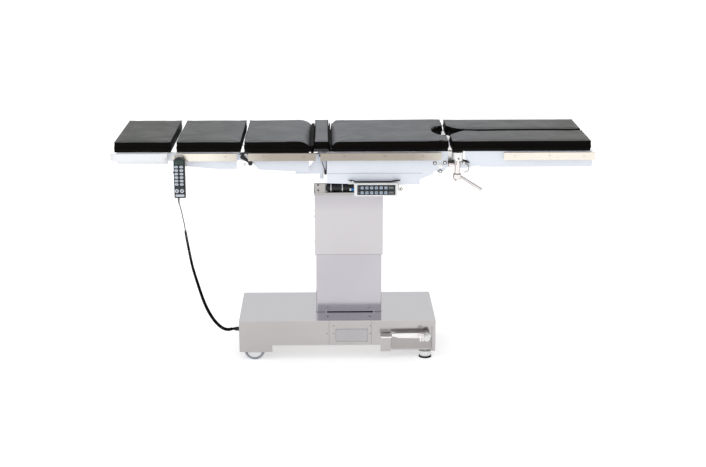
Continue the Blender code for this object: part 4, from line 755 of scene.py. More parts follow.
def pad_grid(ends, low_y, high_y, top):
    """The closed skin of a pad: points by (column, row, level) and faces between them.

    ends(y) gives where the pad starts and stops along X, and top(x) how high it is there."""
    mid = (low_y + high_y) / 2
    span = ends(mid)
    columns = [(x - span[0]) / (span[1] - span[0]) for x in steps_between(*span)]
    rows = steps_between(low_y, high_y)
    levels = [0.0, 0.28, 0.62, 0.88, 1.0]
    last = (len(columns) - 1, len(rows) - 1, len(levels) - 1)
    index, points = {}, []
    for i, u in enumerate(columns):
        for j, y in enumerate(rows):
            for k, share in enumerate(levels):
                if 0 < i < last[0] and 0 < j < last[1] and 0 < k < last[2]:
                    continue
                x_low, x_high = ends(y)
                x = x_low + (x_high - x_low) * u
                from_head, from_foot = x - x_low, x_high - x
                from_front, from_back = y - low_y, high_y - y
                d_x, d_y = min(from_head, from_foot), min(from_front, from_back)
                full = top(x) - PAD_LOW
                d_z = full * (1 - share)
                d_x, d_y = softened(d_x, d_y, CORNER)
                reach = min(ROUND, full * 0.6)
                d_x, drop = softened(d_x, d_z, reach)
                d_y, other = softened(d_y, d_z, reach)
                d_z = max(drop, other)
                x = x_low + d_x if from_head < from_foot else x_high - d_x
                index[i, j, k] = len(points)
                y_here = low_y + d_y if from_front < from_back else high_y - d_y
                points.append(Vector((x, y_here, PAD_LOW + full - d_z)))
    faces = []

    def quads(fixed, level, first, second, flip):
        for a in range(last[first]):
            for b in range(last[second]):
                corner = []
                for da, db in ((0, 0), (1, 0), (1, 1), (0, 1)):
                    key = [0, 0, 0]
                    key[fixed], key[first], key[second] = level, a + da, b + db
                    corner.append(index[tuple(key)])
                faces.append(corner[::-1] if flip else corner)

    for fixed, first, second in ((0, 1, 2), (1, 2, 0), (2, 0, 1)):
        quads(fixed, last[fixed], first, second, False)
        quads(fixed, 0, first, second, True)

    def ring(level):
        along = [(i, 0) for i in range(last[0])] + [(last[0], j) for j in range(last[1])]
        along += [(i, last[1]) for i in range(last[0], 0, -1)] + [(0, j) for j in range(last[1], 0, -1)]
        return [index[i, j, level] for i, j in along]

    return points, faces, ring


def inflate(item, held):
    """Runs cloth under pressure on the pad and keeps the result. The held points stay put."""
    group = item.vertex_groups.new(name="held")
    group.add(held, 1.0, "REPLACE")
    cloth = item.modifiers.new("cloth", "CLOTH")
    settings = cloth.settings
    settings.quality = 6
    settings.mass = 0.35
    settings.tension_stiffness = settings.compression_stiffness = 18
    settings.shear_stiffness = 8
    settings.bending_stiffness = 1.2
    settings.use_pressure = True
    settings.uniform_pressure_force = 4.0
    settings.vertex_group_mass = "held"
    settings.effector_weights.gravity = 0.0
    cloth.collision_settings.use_collision = False
    cloth.point_cache.frame_start, cloth.point_cache.frame_end = 1, CLOTH_FRAMES
    scene = bpy.context.scene
    for step in range(1, CLOTH_FRAMES + 1):
        scene.frame_set(step)
    shown = item.evaluated_get(bpy.context.evaluated_depsgraph_get()).data
    result = [v.co.copy() for v in shown.vertices]
    item.modifiers.remove(cloth)
    item.vertex_groups.remove(group)
    scene.frame_set(1)
    return result


def make_pad(name, node, carrier, ends, seed, top=None):
    """One pad over its CAD solid: inflated skin, a welt on the top seam and a finer one by the board."""
    low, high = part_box(node)
    top = top or (lambda x: PAD_HIGH)
    points, faces, ring = pad_grid(
        lambda y: tuple(e + s * SHRINK for e, s in zip(ends(y), (1, -1))),
        low.y + SHRINK, high.y - SHRINK, lambda x: top(x) - SHRINK,
    )
    held = [i for i, p in enumerate(points) if p.z < PAD_LOW + 1e-5]
    item = new_piece(name, None, points, faces, ("vinyl lit top", "vinyl shaded side"), smooth=60)
    mesh = item.data
    rest = [v.co.copy() for v in mesh.vertices]
    grown = inflate(item, held)
    middle = (low + high) / 2
    for i, (before, after) in enumerate(zip(rest, grown)):
        move = after - before
        if move.length > SWELL:
            move = move.normalized() * SWELL
        spot = before + move
        if before.z > PAD_LOW + 1e-5:
            # foam that people have lain on: a slow rise and fall under the cover
            sag = noise.noise(Vector((spot.x * 5.0, spot.y * 5.0, seed))) * SAG
            edge = min(spot.x - low.x, high.x - spot.x, spot.y - low.y, high.y - spot.y)
            crown = min(max(edge / CROWN_REACH, 0), 1)
            spot.z += (sag + CROWN) * crown * (before.z - PAD_LOW) / (PAD_HIGH - PAD_LOW)
            # the cover gathers a little towards each corner of its front and back
            for axis, cross in ((0, 1), (1, 0)):
                along = min(spot[axis] - low[axis], high[axis] - spot[axis])
                inside = min(abs(spot[cross] - low[cross]), abs(spot[cross] - high[cross]))
                height = before.z - PAD_LOW
                if along < GATHER and 0.004 < height < PAD_HIGH - PAD_LOW - 0.003 and inside < 0.006:
                    ripple = math.sin(spot[axis] * 520 + seed * 7 + before.z * 160)
                    outward = 1 if spot[cross] > middle[cross] else -1
                    spot[cross] -= outward * GATHER_DEPTH * (1 + ripple) * (1 - along / GATHER)
        else:
            spot = before
        for axis in (0, 1):
            spot[axis] = min(max(spot[axis], low[axis] + 0.0002), high[axis] - 0.0002)
        mesh.vertices[i].co = spot
    mesh.update()
    places = [v.co.copy() for v in mesh.vertices]
    # tops take the vinyl with painted sheen, all other faces the vinyl with painted shade
    for face in mesh.polygons:
        face.material_index = 0 if face.normal.z > 0.5 and abs(face.normal.y) < 0.6 else 1
    finer = item.modifiers.new("finer", "SUBSURF")
    finer.levels = finer.render_levels = 1
    fine = bpy.data.meshes.new_from_object(item.evaluated_get(bpy.context.evaluated_depsgraph_get()))
    item.modifiers.remove(finer)
    item.data = fine
    fine.name = name
    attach(item, carrier)
    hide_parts(node)
    shape = Shape()
    for level, lift, radius in ((4, 0.0, 0.0012), (1, 0.0004, 0.0008)):
        shape.tube(welt_line([places[i] for i in ring(level)], middle, lift), radius, 6, closed=True)
    shape.piece(name + "_welt", carrier, "welt", "upholstery", smooth=80)


def welt_line(points, middle, lift):
    """An even line through a ring of points, moved outwards by lift."""
    made = []
    for i, point in enumerate(points):
        along = points[(i + 1) % len(points)] - points[i - 1]
        out = Vector((along.y, -along.x, 0))
        if out.length > 1e-9:
            out.normalize()
        if out.dot(point - middle) < 0 and abs(point.y - middle.y) > 0.05:
            out = -out
        made.append(point + out * lift)
    fine = []
    for i in range(len(made)):
        a, b, c, d = made[i - 1], made[i], made[(i + 1) % len(made)], made[(i + 2) % len(made)]
        if (c - b).length < 1e-5:
            continue
        fine.append(b)
        fine.append((b + c) * 0.5625 - (a + d) * 0.0625)
    return fine


def build_pads():
    def plain(node):
        low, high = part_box(node)
        return lambda y: (low.x, high.x)

    hinge = JOINT_AT["back_hinge"]
    lower_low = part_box("lower_back_pad")[0].x
    arc = PAD_HIGH - hinge[2]
    lower_end = hinge[0] + math.sqrt(arc**2 - (PAD_LOW + 0.006 - hinge[2]) ** 2)

    def lower_top(x):
        return hinge[2] + math.sqrt(max(arc**2 - max(x - hinge[0], 0) ** 2, 0.0))

    seat_low, seat_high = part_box("seat_pad")

    def seat_top(x):
        """The seat's pad slopes down to the kidney bridge over its first 24 mm."""
        share = min(max((seat_low.x + 0.026 - x) / 0.024, 0), 1)
        return PAD_HIGH - 0.015 * share * share * (3 - 2 * share) - 0.001 * share

    def seat_ends(y):
        offset = abs(y - MIDDLE_Y) / SEAT_NOTCH_HALF
        cut = SEAT_NOTCH_DEPTH * math.sqrt(max(1 - offset * offset, 0.0)) if offset < 1 else 0
        return seat_low.x, seat_high.x - cut

    for seed, (name, ends, top) in enumerate((
        ("head", plain("head_pad"), None),
        ("upper_back", plain("upper_back_pad"), None),
        ("lower_back", lambda y: (lower_low, lower_end), lower_top),
        ("bridge", plain("bridge_pad"), None),
        ("seat", seat_ends, seat_top),
    ), 1):
        make_pad(f"{name}_cushion", f"{name}_pad", name, ends, float(seed), top)
    for name, side in SIDES:
        node = f"leg_pad_{name}"
        low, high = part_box(node)

        def leg_ends(y):
            inner = side * (y - MIDDLE_Y)
            cut = 0.0
            for (y0, c0), (y1, c1) in zip(LEG_CUT, LEG_CUT[1:]):
                if y0 <= inner <= y1:
                    cut = c0 + (c1 - c0) * (inner - y0) / (y1 - y0)
            if inner < LEG_CUT[0][0]:
                cut = LEG_CUT[0][1]
            return low.x + cut, high.x

        make_pad(f"leg_cushion_{name}", node, f"leg_{name}", leg_ends, 6.0 + side)


build_pads()


STRIP_RIBS = 40
STRIP_CLEARANCE = 0.0009
SWEEP_CLEARANCE = 0.003


def gap_strip(name, carrier, section, low_y, high_y):
    """A black strip of this section across the table, painted shade in a gap, its edges a little uneven."""
    foot = min(z for x, z in section)
    rows = []
    for rib in range(STRIP_RIBS + 1):
        y = low_y + (high_y - low_y) * rib / STRIP_RIBS
        drop = 0.0002 * math.sin(rib * 2.4)
        rows.append([(x, y, z + (drop if z > foot + 0.01 else 0)) for x, z in section])
    return Shape().stacked(rows).piece(name, carrier, "welt", "upholstery", smooth=40)


def build_gap_strips():
    """Black strips of painted shade that close the gaps before and behind the bridge and behind the lower
    back's board, clear of the back's sweep.
    """
    hinge = JOINT_AT["back_hinge"]
    low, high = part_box("bridge_pad")
    foot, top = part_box("seat_frame")[1].z + 0.0002, PAD_LOW + 0.0135

    def on_arc(radius, start, stop):
        rise = [start + (stop - start) * k / 8 for k in range(9)]
        return [(hinge[0] + math.sqrt(radius**2 - (z - hinge[2]) ** 2), z) for z in rise]

    sweep = PAD_HIGH - hinge[2]
    edge = low.x - STRIP_CLEARANCE
    under, under_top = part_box("bridge_lift")[0].x - 0.0006, low.z - 0.0008
    section = [(edge, under_top), (under, under_top), (under, foot)]
    section += on_arc(sweep + SWEEP_CLEARANCE, foot, top)
    section += [(edge - 0.003, top + 0.0014), (edge - 0.0008, top + 0.0012), (edge, top)]
    strip = gap_strip("bridge_gap_shade_strip", "seat", section, low.y + 0.0012, high.y - 0.0012)
    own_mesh(strip)
    near, far = high.x + STRIP_CLEARANCE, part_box("seat_pad")[0].x - 0.0003
    top = PAD_LOW + 0.015
    section = [(near, foot), (near, top - 0.0012), (near + 0.001, top)]
    section += [(far - 0.0008, top), (far, top - 0.001), (far, foot)]
    gap_strip("seat_gap_shade_strip", "seat", section, low.y + 0.004, high.y - 0.004)
    board_low, board_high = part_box("lower_back_board")
    foot = board_low.z - 0.01
    section = [(board_high.x + 0.0002, board_high.z), (board_high.x + 0.0002, foot)]
    section += on_arc(sweep - 0.0004, foot, board_high.z)
    gap_strip("back_board_shade_lip", "lower_back", section, board_low.y, board_high.y)


build_gap_strips()


# Fittings: screws, keys, knobs, seams and the like, each on the body that carries it. Places are in
# metres; rings, screws and tiles are in millimetres.

RAIL_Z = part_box("seat_rail_front")[0].z + 0.016
RAIL_BOLTS = {
    "lower_back": (-0.3751, -0.2081),
    "upper_back": (-0.7, -0.534),
    "seat": (-0.038, 0.132, 0.29),
    "leg": (0.677, 0.822, 0.966),
}
HEAD_RING = (-0.787, 0.909)
HEAD_SCREWS = ((-1.004, 0.926), (-1.004, 0.914), (-0.745, 0.922))
FLANGE_SCREWS = ((-0.024, 0.0124), (0.018, 0.0144), (-0.001, -0.0226))
STAND_OFF = 0.0002
CAP_RINGS = ((1, 0.8), (0.9, 1.6), (0.62, 1.8), (0.55, 1), (0.35, 1), (0.28, 1.8))
FLUSH = 0.13


def sided(side, y):
    """A place at this distance from the centreline, on one side."""
    return across(side * y)


def face_of(node, side):
    """Where a node's outer face lies along Y, on one side."""
    low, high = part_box(node)
    return low.y if side < 0 else high.y


def outline(corners, y, steps, closed=True):
    """Points along the straight lines between corners (x, z), all at one depth."""
    ends = corners[1:] + corners[:1] if closed else corners[1:]
    return [
        (xa + (xb - xa) * k / steps, y, za + (zb - za) * k / steps)
        for (xa, za), (xb, zb) in zip(corners, ends) for k in range(steps)
    ]


def bow(x, y, z, wide, high, start, step, count):
    """Points on an oval about (x, z), from an angle by steps, both in degrees."""
    turns = [math.radians(start + step * k) for k in range(count)]
    return [(x + wide * math.cos(turn), y, z + high * math.sin(turn)) for turn in turns]


def rail_bolts(section, carrier, label, side, radius):
    y = face_of(f"{section}_rail_{label}", side) + side * STAND_OFF
    shape = Shape()
    for x in RAIL_BOLTS[section]:
        shape.socket_screw((x, y, RAIL_Z), Y * side, radius, 2.2)
    shape.piece(f"{section}_rail_screws_{label}", carrier, "rail", "chrome")


def build_rail_screws():
    for section in ("lower_back", "upper_back", "seat"):
        for label, side in SIDES:
            rail_bolts(section, section, label, side, 5.6)
    for label, side in SIDES:
        rail_bolts("leg", f"leg_{label}", label, side, 5.2)
        x, z = HEAD_RING
        face, out = sided(side, 0.267), Y * side
        shape = Shape().turned(
            (x, face + side * STAND_OFF, z), out, [(9.6, 0), (9.6, 1.2), (8.6, 2), (6.8, 1.8), (6.4, 0.8)], 26
        )
        shape.socket_screw((x, face + side * 0.0006, z), out, 5, 2)
        for x, z in HEAD_SCREWS:
            shape.socket_screw((x, face + side * STAND_OFF, z), out, 3, 1.4)
        shape.piece(f"head_rail_screws_{label}", "head", "satin", "rail")


def build_hinge_caps():
    """Round caps on the section hinges, with a slotted screw in each."""
    upper, head, back = (JOINT_AT[f"{name}_hinge"] for name in ("upper_back", "head", "back"))
    for label, side in SIDES:
        y, out = sided(side, 0.2433), Y * side
        # the latch lever sweeps over the front ones, so they are all but flush
        level, proud = (sided(side, 0.243), FLUSH) if side < 0 else (y, 1.0)
        shape = Shape()
        for x, z, radius in ((upper[0] + 0.013, 0.921, 8.5), (upper[0] + 0.008, 0.884, 6.0)):
            rings = [(radius * share, rise * proud) for share, rise in CAP_RINGS]
            shape.turned((x, level, z), out, [(radius, -2), *rings], 22)
        if side > 0:
            rings = [(10.5, 0), (10.5, 3), (9.2, 4.2), (4, 4.4), (3.4, 3)]
            shape.turned((upper[0], y, upper[2]), out, rings, 24)
        shape.piece(f"hinge_caps_{label}", "lower_back", "white plastic", "white_plastic")
        for name, spot, carrier, look, rings in (
            ("head", head, "upper_back", "rail", [(9, 0), (9, 2), (7.8, 3), (3.2, 3.2), (2.8, 2.2)]),
            ("back", back, "lower_back", "cover", [(12, 0), (12, 2), (10.5, 3.2), (4.2, 3.4), (3.6, 2.2)]),
        ):
            cap = Shape().turned((spot[0], y, spot[2]), out, rings, 24)
            cap.piece(f"{name}_hinge_caps_{label}", carrier, look, look)


def build_seat_fittings():
    fold_x, _, fold_z = JOINT_AT["leg_fold_front"]
    for label, side in SIDES:
        y, out = sided(side, 0.243), Y * side
        washers, screws = Shape(), Shape()
        for dx, dz in FLANGE_SCREWS:
            x, z = fold_x + dx, fold_z + dz
            washers.turned((x, y + side * STAND_OFF, z), out, [(8, 0), (8, 1), (7.4, 1.4)], 22)
            screws.socket_screw((x, y + side * 0.0014, z), out, 5.2, 3.4)
        washers.piece(f"flange_washers_{label}", "seat", "dark gap", "chrome")
        screws.piece(f"flange_screws_{label}", "seat", "satin", "chrome")
        Shape().turned((fold_x, y + side * STAND_OFF, fold_z + 0.001), out, [
            (10.5, 0), (10.5, 1.6), (9.2, 2.6), (5, 2.8), (4.4, 1.8), (2, 1.8),
        ], 26).piece(f"fold_cap_{label}", "seat", "satin", "rail")
        # a grey line of painted shade under the fold along the foot of the cover's upper field
        y = face_of(f"seat_cover_{label}", side)
        near, far = sorted((y, y + side * STAND_OFF))
        fold = Shape().plate((-0.108, near, 0.8425), (0.2905, far, 0.8433), 0.0001)
        fold.piece(f"cover_fold_shade_{label}", "seat", "seam line", "cover", smooth=0)
        # a pair of thin dark rods from the end of the cover down to a black foot: painted shade along the
        # edges of the plates there
        y = sided(side, 0.2335)
        shade_lines = Shape().tube([(-0.14, y, 0.92), (-0.133, y, 0.896), (-0.119, y, 0.852)], 0.0015, 10)
        shade_lines.tube([(-0.1128, y, 0.9), (-0.1128, y, 0.876), (-0.115, y, 0.852)], 0.0015, 10)
        for foot in ((-0.14, y, 0.918), (-0.1128, y, 0.9)):
            shade_lines.turned(foot, Y * -side, [(3.4, -1.8), (3.4, 4), (2.6, 5)], 14)
        shade_lines.piece(f"stay_shade_lines_{label}", "seat", "black plastic", "frame_steel")
        foot = Shape().plate((-0.1225, y - 0.004, 0.837), (-0.1115, y + 0.004, 0.857), 0.0024)
        foot.turned((-0.117, y, 0.844), out, [(3, 3.5), (3, 5), (2.2, 5.6)], 14)
        foot.piece(f"stay_foot_{label}", "seat", "black plastic", "black_plastic")


PANEL_ROWS = (0.7887, 0.768)
PANEL_KEYS = [0.0365 + 0.0199 * i for i in range(6)]
PANEL_RIM = 0.0012


def build_keypad():
    low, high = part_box("control_keys")
    case_low, case_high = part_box("control_panel")
    front = low.y
    keys, marks, labels, lamps = Shape(), Shape(), Shape(), Shape()
    for z in PANEL_ROWS:
        for i, x in enumerate(PANEL_KEYS):
            keys.tile((x - 0.0001, front, z), (6.2, 5.8), 1, 2)
            marks.tile((x, front, z), (3, 0.8), 1.4, 0.5, sink=-0.8)
            if i % 2:
                marks.tile((x, front, z), (0.8, 3), 1.4, 0.5, sink=-0.8)
        labels.tile((0.1585, front, z), (10.5, 5), 0.8, 1.4).tile((0.022, front, z), (2.5, 3.5), 0.7, 1)
        for i in range(3):
            foot = (0.1515 + 0.007 * i, front - 0.0006, z + 0.002)
            lamps.turned(foot, -Y, [(1, 0), (1, 0.6), (0.6, 0.9)], 12)
    keys.piece("panel_keys", "seat", "key", "keypad", smooth=30)
    marks.piece("panel_key_marks", "seat", "keypad", "keypad", smooth=30)
    labels.piece("panel_labels", "seat", "grey key", "keypad", smooth=30)
    lamps.piece("panel_lamps", "seat", "pale grey plastic", "keypad")
    # the frame about the film
    left, right, foot, top = low.x - PANEL_RIM, high.x + PANEL_RIM, low.z - PANEL_RIM, high.z + PANEL_RIM
    path = outline([(left, top), (right, top), (right, foot), (left, foot)], front + 0.0007, 8)
    rim = Shape().tube(path, 0.0009, 6, closed=True)
    rim.piece("panel_rim", "seat", "white plastic", "white_plastic", smooth=60)
    # the dark grip above the panel, with its two ends
    y, z = case_low.y + 0.0168, case_high.z - 0.0061
    grip = Shape().tube(
        [(-0.021, y, z + 0.006), (-0.004, y, z + 0.006), (0.002, y, z + 0.004), (0.006, y, z),
         (0.158, y, z), (0.17, y, z + 0.003), (0.196, y, z + 0.006)],
        [0.0018, 0.002, 0.003, 0.0035, 0.0035, 0.0038, 0.0026], 14,
    )
    for x in (-0.01, 0.184):
        grip.plate((x - 0.003, y - 0.001, z + 0.001), (x + 0.003, case_high.y - 0.0031, z + 0.0058), 0.001)
    grip.piece("panel_grip", "seat", "black plastic", "black_plastic", smooth=60)
    # a wire clip at the panel's right end, on a small post
    x, y, z = 0.1966, case_low.y - 0.0014, 0.784
    wire = [(0.1885, y + 0.0012, 0.806), (0.1885, y, 0.802), (0.1887, y, 0.79)]
    clip = Shape().tube(wire + bow(x, y, z, 0.0088, 0.0088, 160, 22, 14), 0.0013, 8)
    clip.turned((x, case_low.y + 0.0004, z), -Y, [(4.6, 0), (4.6, 3), (3.6, 4.2), (1.4, 4.6)], 18)
    clip.piece("panel_latch", "seat", "dark brown steel", "chrome")


HANDSET_COLUMNS = (-0.7354, -0.7141)
HANDSET_ROWS = [0.8868 - 0.01482 * i for i in range(6)]
ROUND_KEYS_Z = 0.785


def build_handset():
    low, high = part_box("handset_keys")
    body_low, body_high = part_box("handset")
    front = low.y
    middle = (low.x + high.x) / 2
    pads, marks, rounds, window = Shape(), Shape(), Shape(), Shape()
    for row, z in enumerate(HANDSET_ROWS):
        for x in HANDSET_COLUMNS:
            pads.tile((x, front, z), (7.6, 5.1), 1.1, 4.6)
            slope = 0.0022 if (row + (x > middle)) % 2 else -0.0022
            low_end, high_end = ((x + s * 0.004, front - 0.0011, z + s * slope) for s in (-1, 1))
            marks.tube([low_end, (x, front - 0.0012, z), high_end], 0.0007, 6)
    for x in HANDSET_COLUMNS:
        rounds.turned((x, front + 0.0002, ROUND_KEYS_Z), -Y, [
            (8.4, 0), (8.4, 1), (7.4, 1.6), (4.8, 1.6), (4, 0.8), (3.4, 0.8),
        ], 28)
        window.turned((x, front - 0.0005, ROUND_KEYS_Z), -Y, [(3.2, 0), (3.2, 0.6), (2.4, 1)], 18)
    rounds.tile((middle, front, 0.76525), (18.2, 4.75), 1, 2)
    window.tile((middle, front, 0.79925), (17.5, 1.75), 0.6, 0.8)
    window.tile((middle, front, 0.90625), (18.5, 8.75), 0.5, 3)
    lamp = Shape().tile((middle - 0.01225, front, 0.9025), (4.25, 3.5), 0.9, 1.2, sink=-0.3)
    pads.piece("handset_pads", "handset", "pale key", "keypad", smooth=30)
    marks.piece("handset_marks", "handset", "grey key", "keypad", smooth=60)
    rounds.piece("handset_round_keys", "handset", "pale key", "keypad", smooth=35)
    window.piece("handset_window", "handset", "window", "keypad", smooth=35)
    lamp.piece("handset_lamp", "handset", "green lamp", "keypad", smooth=35)
    # the nub on its left edge, the clip on its right one, and the case's parting line
    nub = Shape().turned((body_low.x + 0.0006, body_low.y + 0.011, 0.861), -X, [
        (5, 0), (5, 1.6), (4.2, 3.4), (2, 4.2),
    ], 18)
    nub.piece("handset_nub", "handset", "black plastic", "black_plastic")
    y = (body_low.y + body_high.y) / 2
    clip = Shape().plate((body_high.x - 0.021, y - 0.0045, 0.885), (-0.6905, y + 0.0045, 0.907), 0.002)
    clip.piece("handset_clip", "handset", "pale grey plastic", "white_plastic")
    left, right, foot, top = body_low.x - 0.0001, body_high.x + 0.0001, 0.7545, 0.915
    seam_y = body_low.y + 0.0075
    path = outline([(left, top), (left, foot), (right, foot), (right, top)], seam_y, 10, closed=False)
    seam = Shape().tube(path + [(right, seam_y, top)], 0.0006, 6)
    seam.piece("handset_seam", "handset", "dark gap", "black_plastic")


PLUG_Z = 0.739


def build_motor():
    low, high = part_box("tilt_motor")
    y, z = (low.y + high.y) / 2, (low.z + high.z) / 2
    radius = (high.z - low.z) * 500
    bands = Shape()
    for x in (low.x + 0.0205, low.x + 0.0695):
        bands.turned((x + 0.0004, y, z), X, [
            (radius - 2, 0), (radius + 0.3, 0.2), (radius + 0.3, 4.2), (radius - 2, 4.4),
        ], 28)
    bands.piece("motor_bands", "column", "white plastic", "white_plastic")
    y = low.y - 0.0035
    plug = Shape().turned((-0.014, y, PLUG_Z), X, [(4, 0), (6.2, 1.2), (6.2, 7.5), (5, 8)], 20)
    plug.piece("motor_plug", "column", "white plastic", "white_plastic")
    socket = Shape().turned((-0.0058, y, PLUG_Z), X, [(5.6, 0), (6.6, 1.2), (6.6, 7), (5, 9)], 20)
    socket.tube([
        (0.002, y, PLUG_Z), (0.008, y + 0.004, 0.7385), (0.013, y + 0.012, 0.7375),
        (0.016, y + 0.024, 0.736), (0.0165, y + 0.036, 0.73), (0.0165, y + 0.04, 0.724),
    ], 0.003, 10)
    socket.piece("motor_socket", "column", "blue plastic", "black_plastic")
    screws = Shape()
    for z in (0.759, 0.735):
        screws.socket_screw((-0.149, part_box("column_head")[0].y + 0.0008, z), -Y, 4.2, 2.4)
    screws.piece("bracket_screws", "column", "dark steel", "chrome")


HEM_INSET = 0.006


def hem(low, high, z):
    """Points round a box at one height, its four corners rounded."""
    path = []
    for n, (x, y) in enumerate(((low.x, low.y), (high.x, low.y), (high.x, high.y), (low.x, high.y))):
        x += HEM_INSET if x == low.x else -HEM_INSET
        y += HEM_INSET if y == low.y else -HEM_INSET
        for k in range(5):
            turn = math.radians((180 + 90 * n) % 360 + 22.5 * k)
            path.append((x + math.cos(turn) * HEM_INSET, y + math.sin(turn) * HEM_INSET, z))
    return path


def build_column_fittings():
    upper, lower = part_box("column_upper_cover"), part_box("column_lower_cover")
    for name, carrier, (low, high), heights, rises in (
        ("upper_cover_screws", "column", upper, (0.608, 0.495), (1.2, 2.1, 2.3)),
        ("lower_cover_screws", "base", lower, (0.261,), (0.6, 1, 1.1)),
    ):
        shape = Shape()
        rings = [(4.5, 0), *zip((4.2, 2.6, 1), rises)]
        for side, x in ((-1, low.x), (1, high.x)):
            for z in heights:
                for y in (low.y + 0.04, high.y - 0.04):
                    shape.turned((x + side * 0.0001, y, z), X * side, rings, 18)
        shape.piece(name, carrier, "dark steel", "chrome")
    # hemmed lower lip of the upper cover, and the seal at the foot of the lower one
    lip = Shape().tube(hem(*upper, upper[0].z + 0.0012), 0.001, 6, closed=True)
    lip.piece("upper_cover_lip", "column", "column steel", "stainless", smooth=60)
    seal = Shape().tube(hem(*lower, lower[0].z + 0.0008), 0.0009, 6, closed=True)
    seal.piece("column_foot_seal", "base", "seam line", "wheel_rubber", smooth=60)
    # the dark slot at the foot, between two pale end stops, front and back
    slot, stops = Shape(), Shape()
    foot = lower[0].z + 0.0002
    for side, y in ((-1, lower[0].y), (1, lower[1].y)):
        near, far = sorted((y - side * 0.0004, y + side * 0.0012))
        slot.plate((-0.114, near, foot), (0.092, far, foot + 0.0026), 0.0004)
        near, far = sorted((y - side * 0.0004, y + side * 0.0018))
        for x in (-0.118, 0.092):
            stops.plate((x, near, foot), (x + 0.004, far, foot + 0.0048), 0.0006)
    slot.piece("foot_slot", "base", "dark gap", "stainless", smooth=0)
    stops.piece("foot_slot_stops", "base", "satin", "stainless", smooth=30)


ARCH_SCREWS = [(x, across(y)) for x in (-0.111, 0.074) for y in (-0.148, 0.148)]
PANEL_SCREWS = ((-0.084, 0.156), (-0.115, 0.1215), (-0.085, 0.1215), (0.0745, 0.1215), (0.0745, 0.156))


def build_base_fittings():
    low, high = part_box("base_cover")
    front = low.y
    faces = ((-1, front), (1, high.y))
    screws, slits = Shape(), Shape()
    for x, y in ARCH_SCREWS:
        screws.turned((x, y, high.z + 0.0001), Z, [(4.8, 0), (4.4, 1), (2.6, 1.7), (1.2, 0.9)], 18)
    for x, z in PANEL_SCREWS:
        for side, y in faces:
            screws.turned((x, y + side * 0.0001, z), Y * side, [(2.6, 0), (2.4, 0.7), (1, 1.1)], 14)
    screws.piece("base_screws", "base", "dark brown steel", "chrome")
    # the slit round the service panel, front and back
    for side, y in faces:
        for x in (-0.105, 0.0795):
            slits.plate(
                (x - 0.0004, min(y, y - side * 0.001), 0.07),
                (x + 0.0004, max(y, y + side * 0.0002), high.z - 0.001), 0.0002,
            )
    slits.piece("service_panel_slits", "base", "seam line", "stainless", smooth=0)
    # a darker plate on the back of the pedal's recess, below the shaft: painted shade in the recess
    recess = front + 0.018
    shade_plate = Shape().plate((0.1655, recess - 0.0007, 0.046), (0.3435, recess - 0.0001, 0.094), 0.0004)
    shade_plate.piece("recess_shade_plate", "base", "recess shade steel", "stainless", smooth=30)
    # a bare plate in a thin raised frame
    plate = Shape().plate((-0.077, front - 0.001, 0.083), (0.064, front + 0.0002, 0.1425), 0.0016)
    plate.piece("bare_plate", "base", "plate", "stainless", smooth=30)
    corners = [(-0.0755, 0.141), (0.0625, 0.141), (0.0625, 0.0845), (-0.0755, 0.0845)]
    rim = Shape().tube(outline(corners, front - 0.001, 8), 0.0006, 6, closed=True)
    for x, z in corners:
        rim.turned(
            (x + (0.004 if x < 0 else -0.004), front - 0.0008, z + (0.004 if z < 0.1 else -0.004)), -Y,
            [(1.7, 0), (1.5, 0.6), (0.6, 0.9)], 12,
        )
    rim.piece("bare_plate_rim", "base", "seam line", "stainless", smooth=60)


def build_pedal_fittings():
    low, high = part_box("brake_pedal")
    hub_x, _, hub_z = JOINT_AT["brake_pedal_turn"]
    rings = [(14, -1), (14, 0.6), (12.8, 1.4), (5, 1.6), (4, 0.8)]
    disc = Shape().turned((hub_x, low.y, hub_z), -Y, rings, 28)
    disc.piece("pedal_hub_disc", "brake_pedal", "white plastic", "chrome")
    collar = Shape()
    for back, reach in ((0.027, 0.004), (0.017, 0.003)):
        x = hub_x - back
        collar.plate(
            (x - reach, low.y - 0.0036, hub_z - 0.013), (x + reach, low.y + 0.0004, hub_z + 0.021), 0.002
        )
    collar.piece("pedal_collar", "brake_pedal", "lever steel", "chrome")
    screws = Shape()
    for x, z, radius in ((0.308, 0.144, 7), (0.255, 0.099, 4)):
        screws.socket_screw((x, high.y, z), -Y, radius, 5)
    screws.piece("recess_screws", "base", "lever steel", "chrome")


def build_feet():
    for label, side in SIDES:
        low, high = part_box(f"lock_foot_{label}")
        radius = (high.x - low.x) * 500
        sole = Shape().turned(((low.x + high.x) / 2, (low.y + high.y) / 2, 0), Z, [
            (radius - 3, 0.4), (radius + 0.4, 1.2), (radius + 0.6, 5), (radius + 0.2, 6.6), (radius - 3, 7),
        ], 32)
        sole.piece(f"foot_sole_{label}", f"lock_foot_{label}", "dark gap", "wheel_rubber")
        low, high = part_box(f"fixed_wheel_{label}")
        axle = ((low.x + high.x) / 2, low.y if side < 0 else high.y, (low.z + high.z) / 2)
        disc = Shape().turned(axle, Y * side, [
            (33, -2), (33, 0.4), (31.8, 1.2), (29.6, 1.2), (28.8, 0.2),
            (18, 0.1), (17.2, 1.2), (12, 1.6), (6, 1.6),
        ], 36)
        disc.piece(f"wheel_disc_{label}", f"fixed_wheel_{label}", "white plastic", "rail")


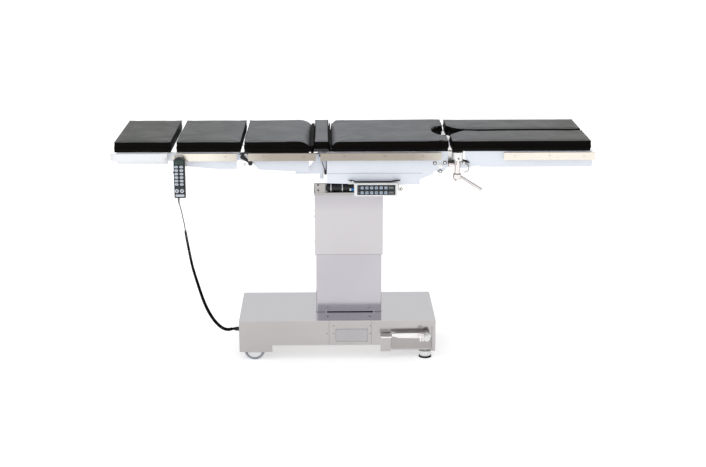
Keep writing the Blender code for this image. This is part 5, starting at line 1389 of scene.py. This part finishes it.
def build_leg_fittings():
    spindle_x = JOINT_AT["leg_spread_front"][0]
    for label, side in SIDES:
        joint, leg = f"leg_joint_{label}", f"leg_{label}"
        foot = (spindle_x + 0.003, sided(side, 0.264) - side * 0.001, 0.909)
        screw = Shape().socket_screw(foot, Y * side, 3.6, 3)
        screw.piece(f"lug_screw_{label}", joint, "dark steel", "chrome")
        # the black knob beside the lug, on a short bright neck
        x, y = spindle_x - 0.028, sided(side, 0.258)
        knob = Shape().turned((x, y, 0), Z, [
            (12.2, 891.6), (13.7, 892.6), (13.7, 897.2), (12.4, 900), (8, 902), (1.5, 902.6),
        ], 28)
        knob.piece(f"bracket_knob_{label}", joint, "black plastic", "black_plastic")
        neck = Shape().turned((x, y, 0), Z, [
            (6, 873.2), (11.2, 875.6), (13.6, 881), (13.7, 886), (12.8, 890.5), (11.8, 891.7),
        ], 28)
        neck.tube([
            (x + 0.006, y - side * 0.002, 0.881), (x + 0.016, y - side * 0.006, 0.884),
            (x + 0.02, sided(side, 0.244), 0.899),
        ], 0.0034, 12)
        neck.piece(f"bracket_neck_{label}", joint, "lever steel", "chrome")
        # the wing lever on the leg's arm, with a bright hook under it
        y = sided(side, 0.2455)
        wing = Shape().tube([
            (0.4525, y, 0.8965), (0.46, y, 0.8985), (0.47, y, 0.896), (0.481, y, 0.8905), (0.4865, y, 0.8885),
        ], [0.0034, 0.0052, 0.005, 0.0036, 0.002], 14)
        wing.piece(f"wing_lever_{label}", leg, "black plastic", "black_plastic")
        hook = Shape().tube(bow(0.47, y, 0.866, 0.015, 0.018, 100, -17.5, 13), 0.0017, 8)
        hook.piece(f"wing_hook_{label}", leg, "dark brown steel", "chrome")
        neck = Shape().turned((0.464, y, 0.885), Z, [(5.6, 0), (7.4, 1.2), (7.4, 5.5), (5.4, 7), (4, 10)], 22)
        neck.tube([
            (0.464, y, 0.888), (0.464, sided(side, 0.244), 0.888), (0.464, sided(side, 0.2375), 0.8885),
        ], 0.0032, 10)
        neck.piece(f"wing_neck_{label}", leg, "lever steel", "chrome")
        # bright shell of the sleeve, with a ring at each end
        y = sided(side, 0.24)
        rings = [(10.6, 841.2), (11.4, 841.6), (11.4, 895.6), (10.6, 896)]
        shell = Shape().turned((spindle_x, y, 0), Z, rings, 28)
        shell.piece(f"sleeve_shell_{label}", leg, "lever steel", "chrome")
        ends = Shape()
        for z in (0.84, 0.8955):
            ends.turned((spindle_x, y, z), Z, [(11, 0), (12.8, 0.6), (12.8, 2.2), (11, 2.8)], 28)
        ends.piece(f"sleeve_rings_{label}", leg, "dark brown steel", "chrome")


for build in (
    build_rail_screws, build_hinge_caps, build_seat_fittings, build_keypad, build_handset, build_motor,
    build_column_fittings, build_base_fittings, build_pedal_fittings, build_feet, build_leg_fittings,
):
    build()
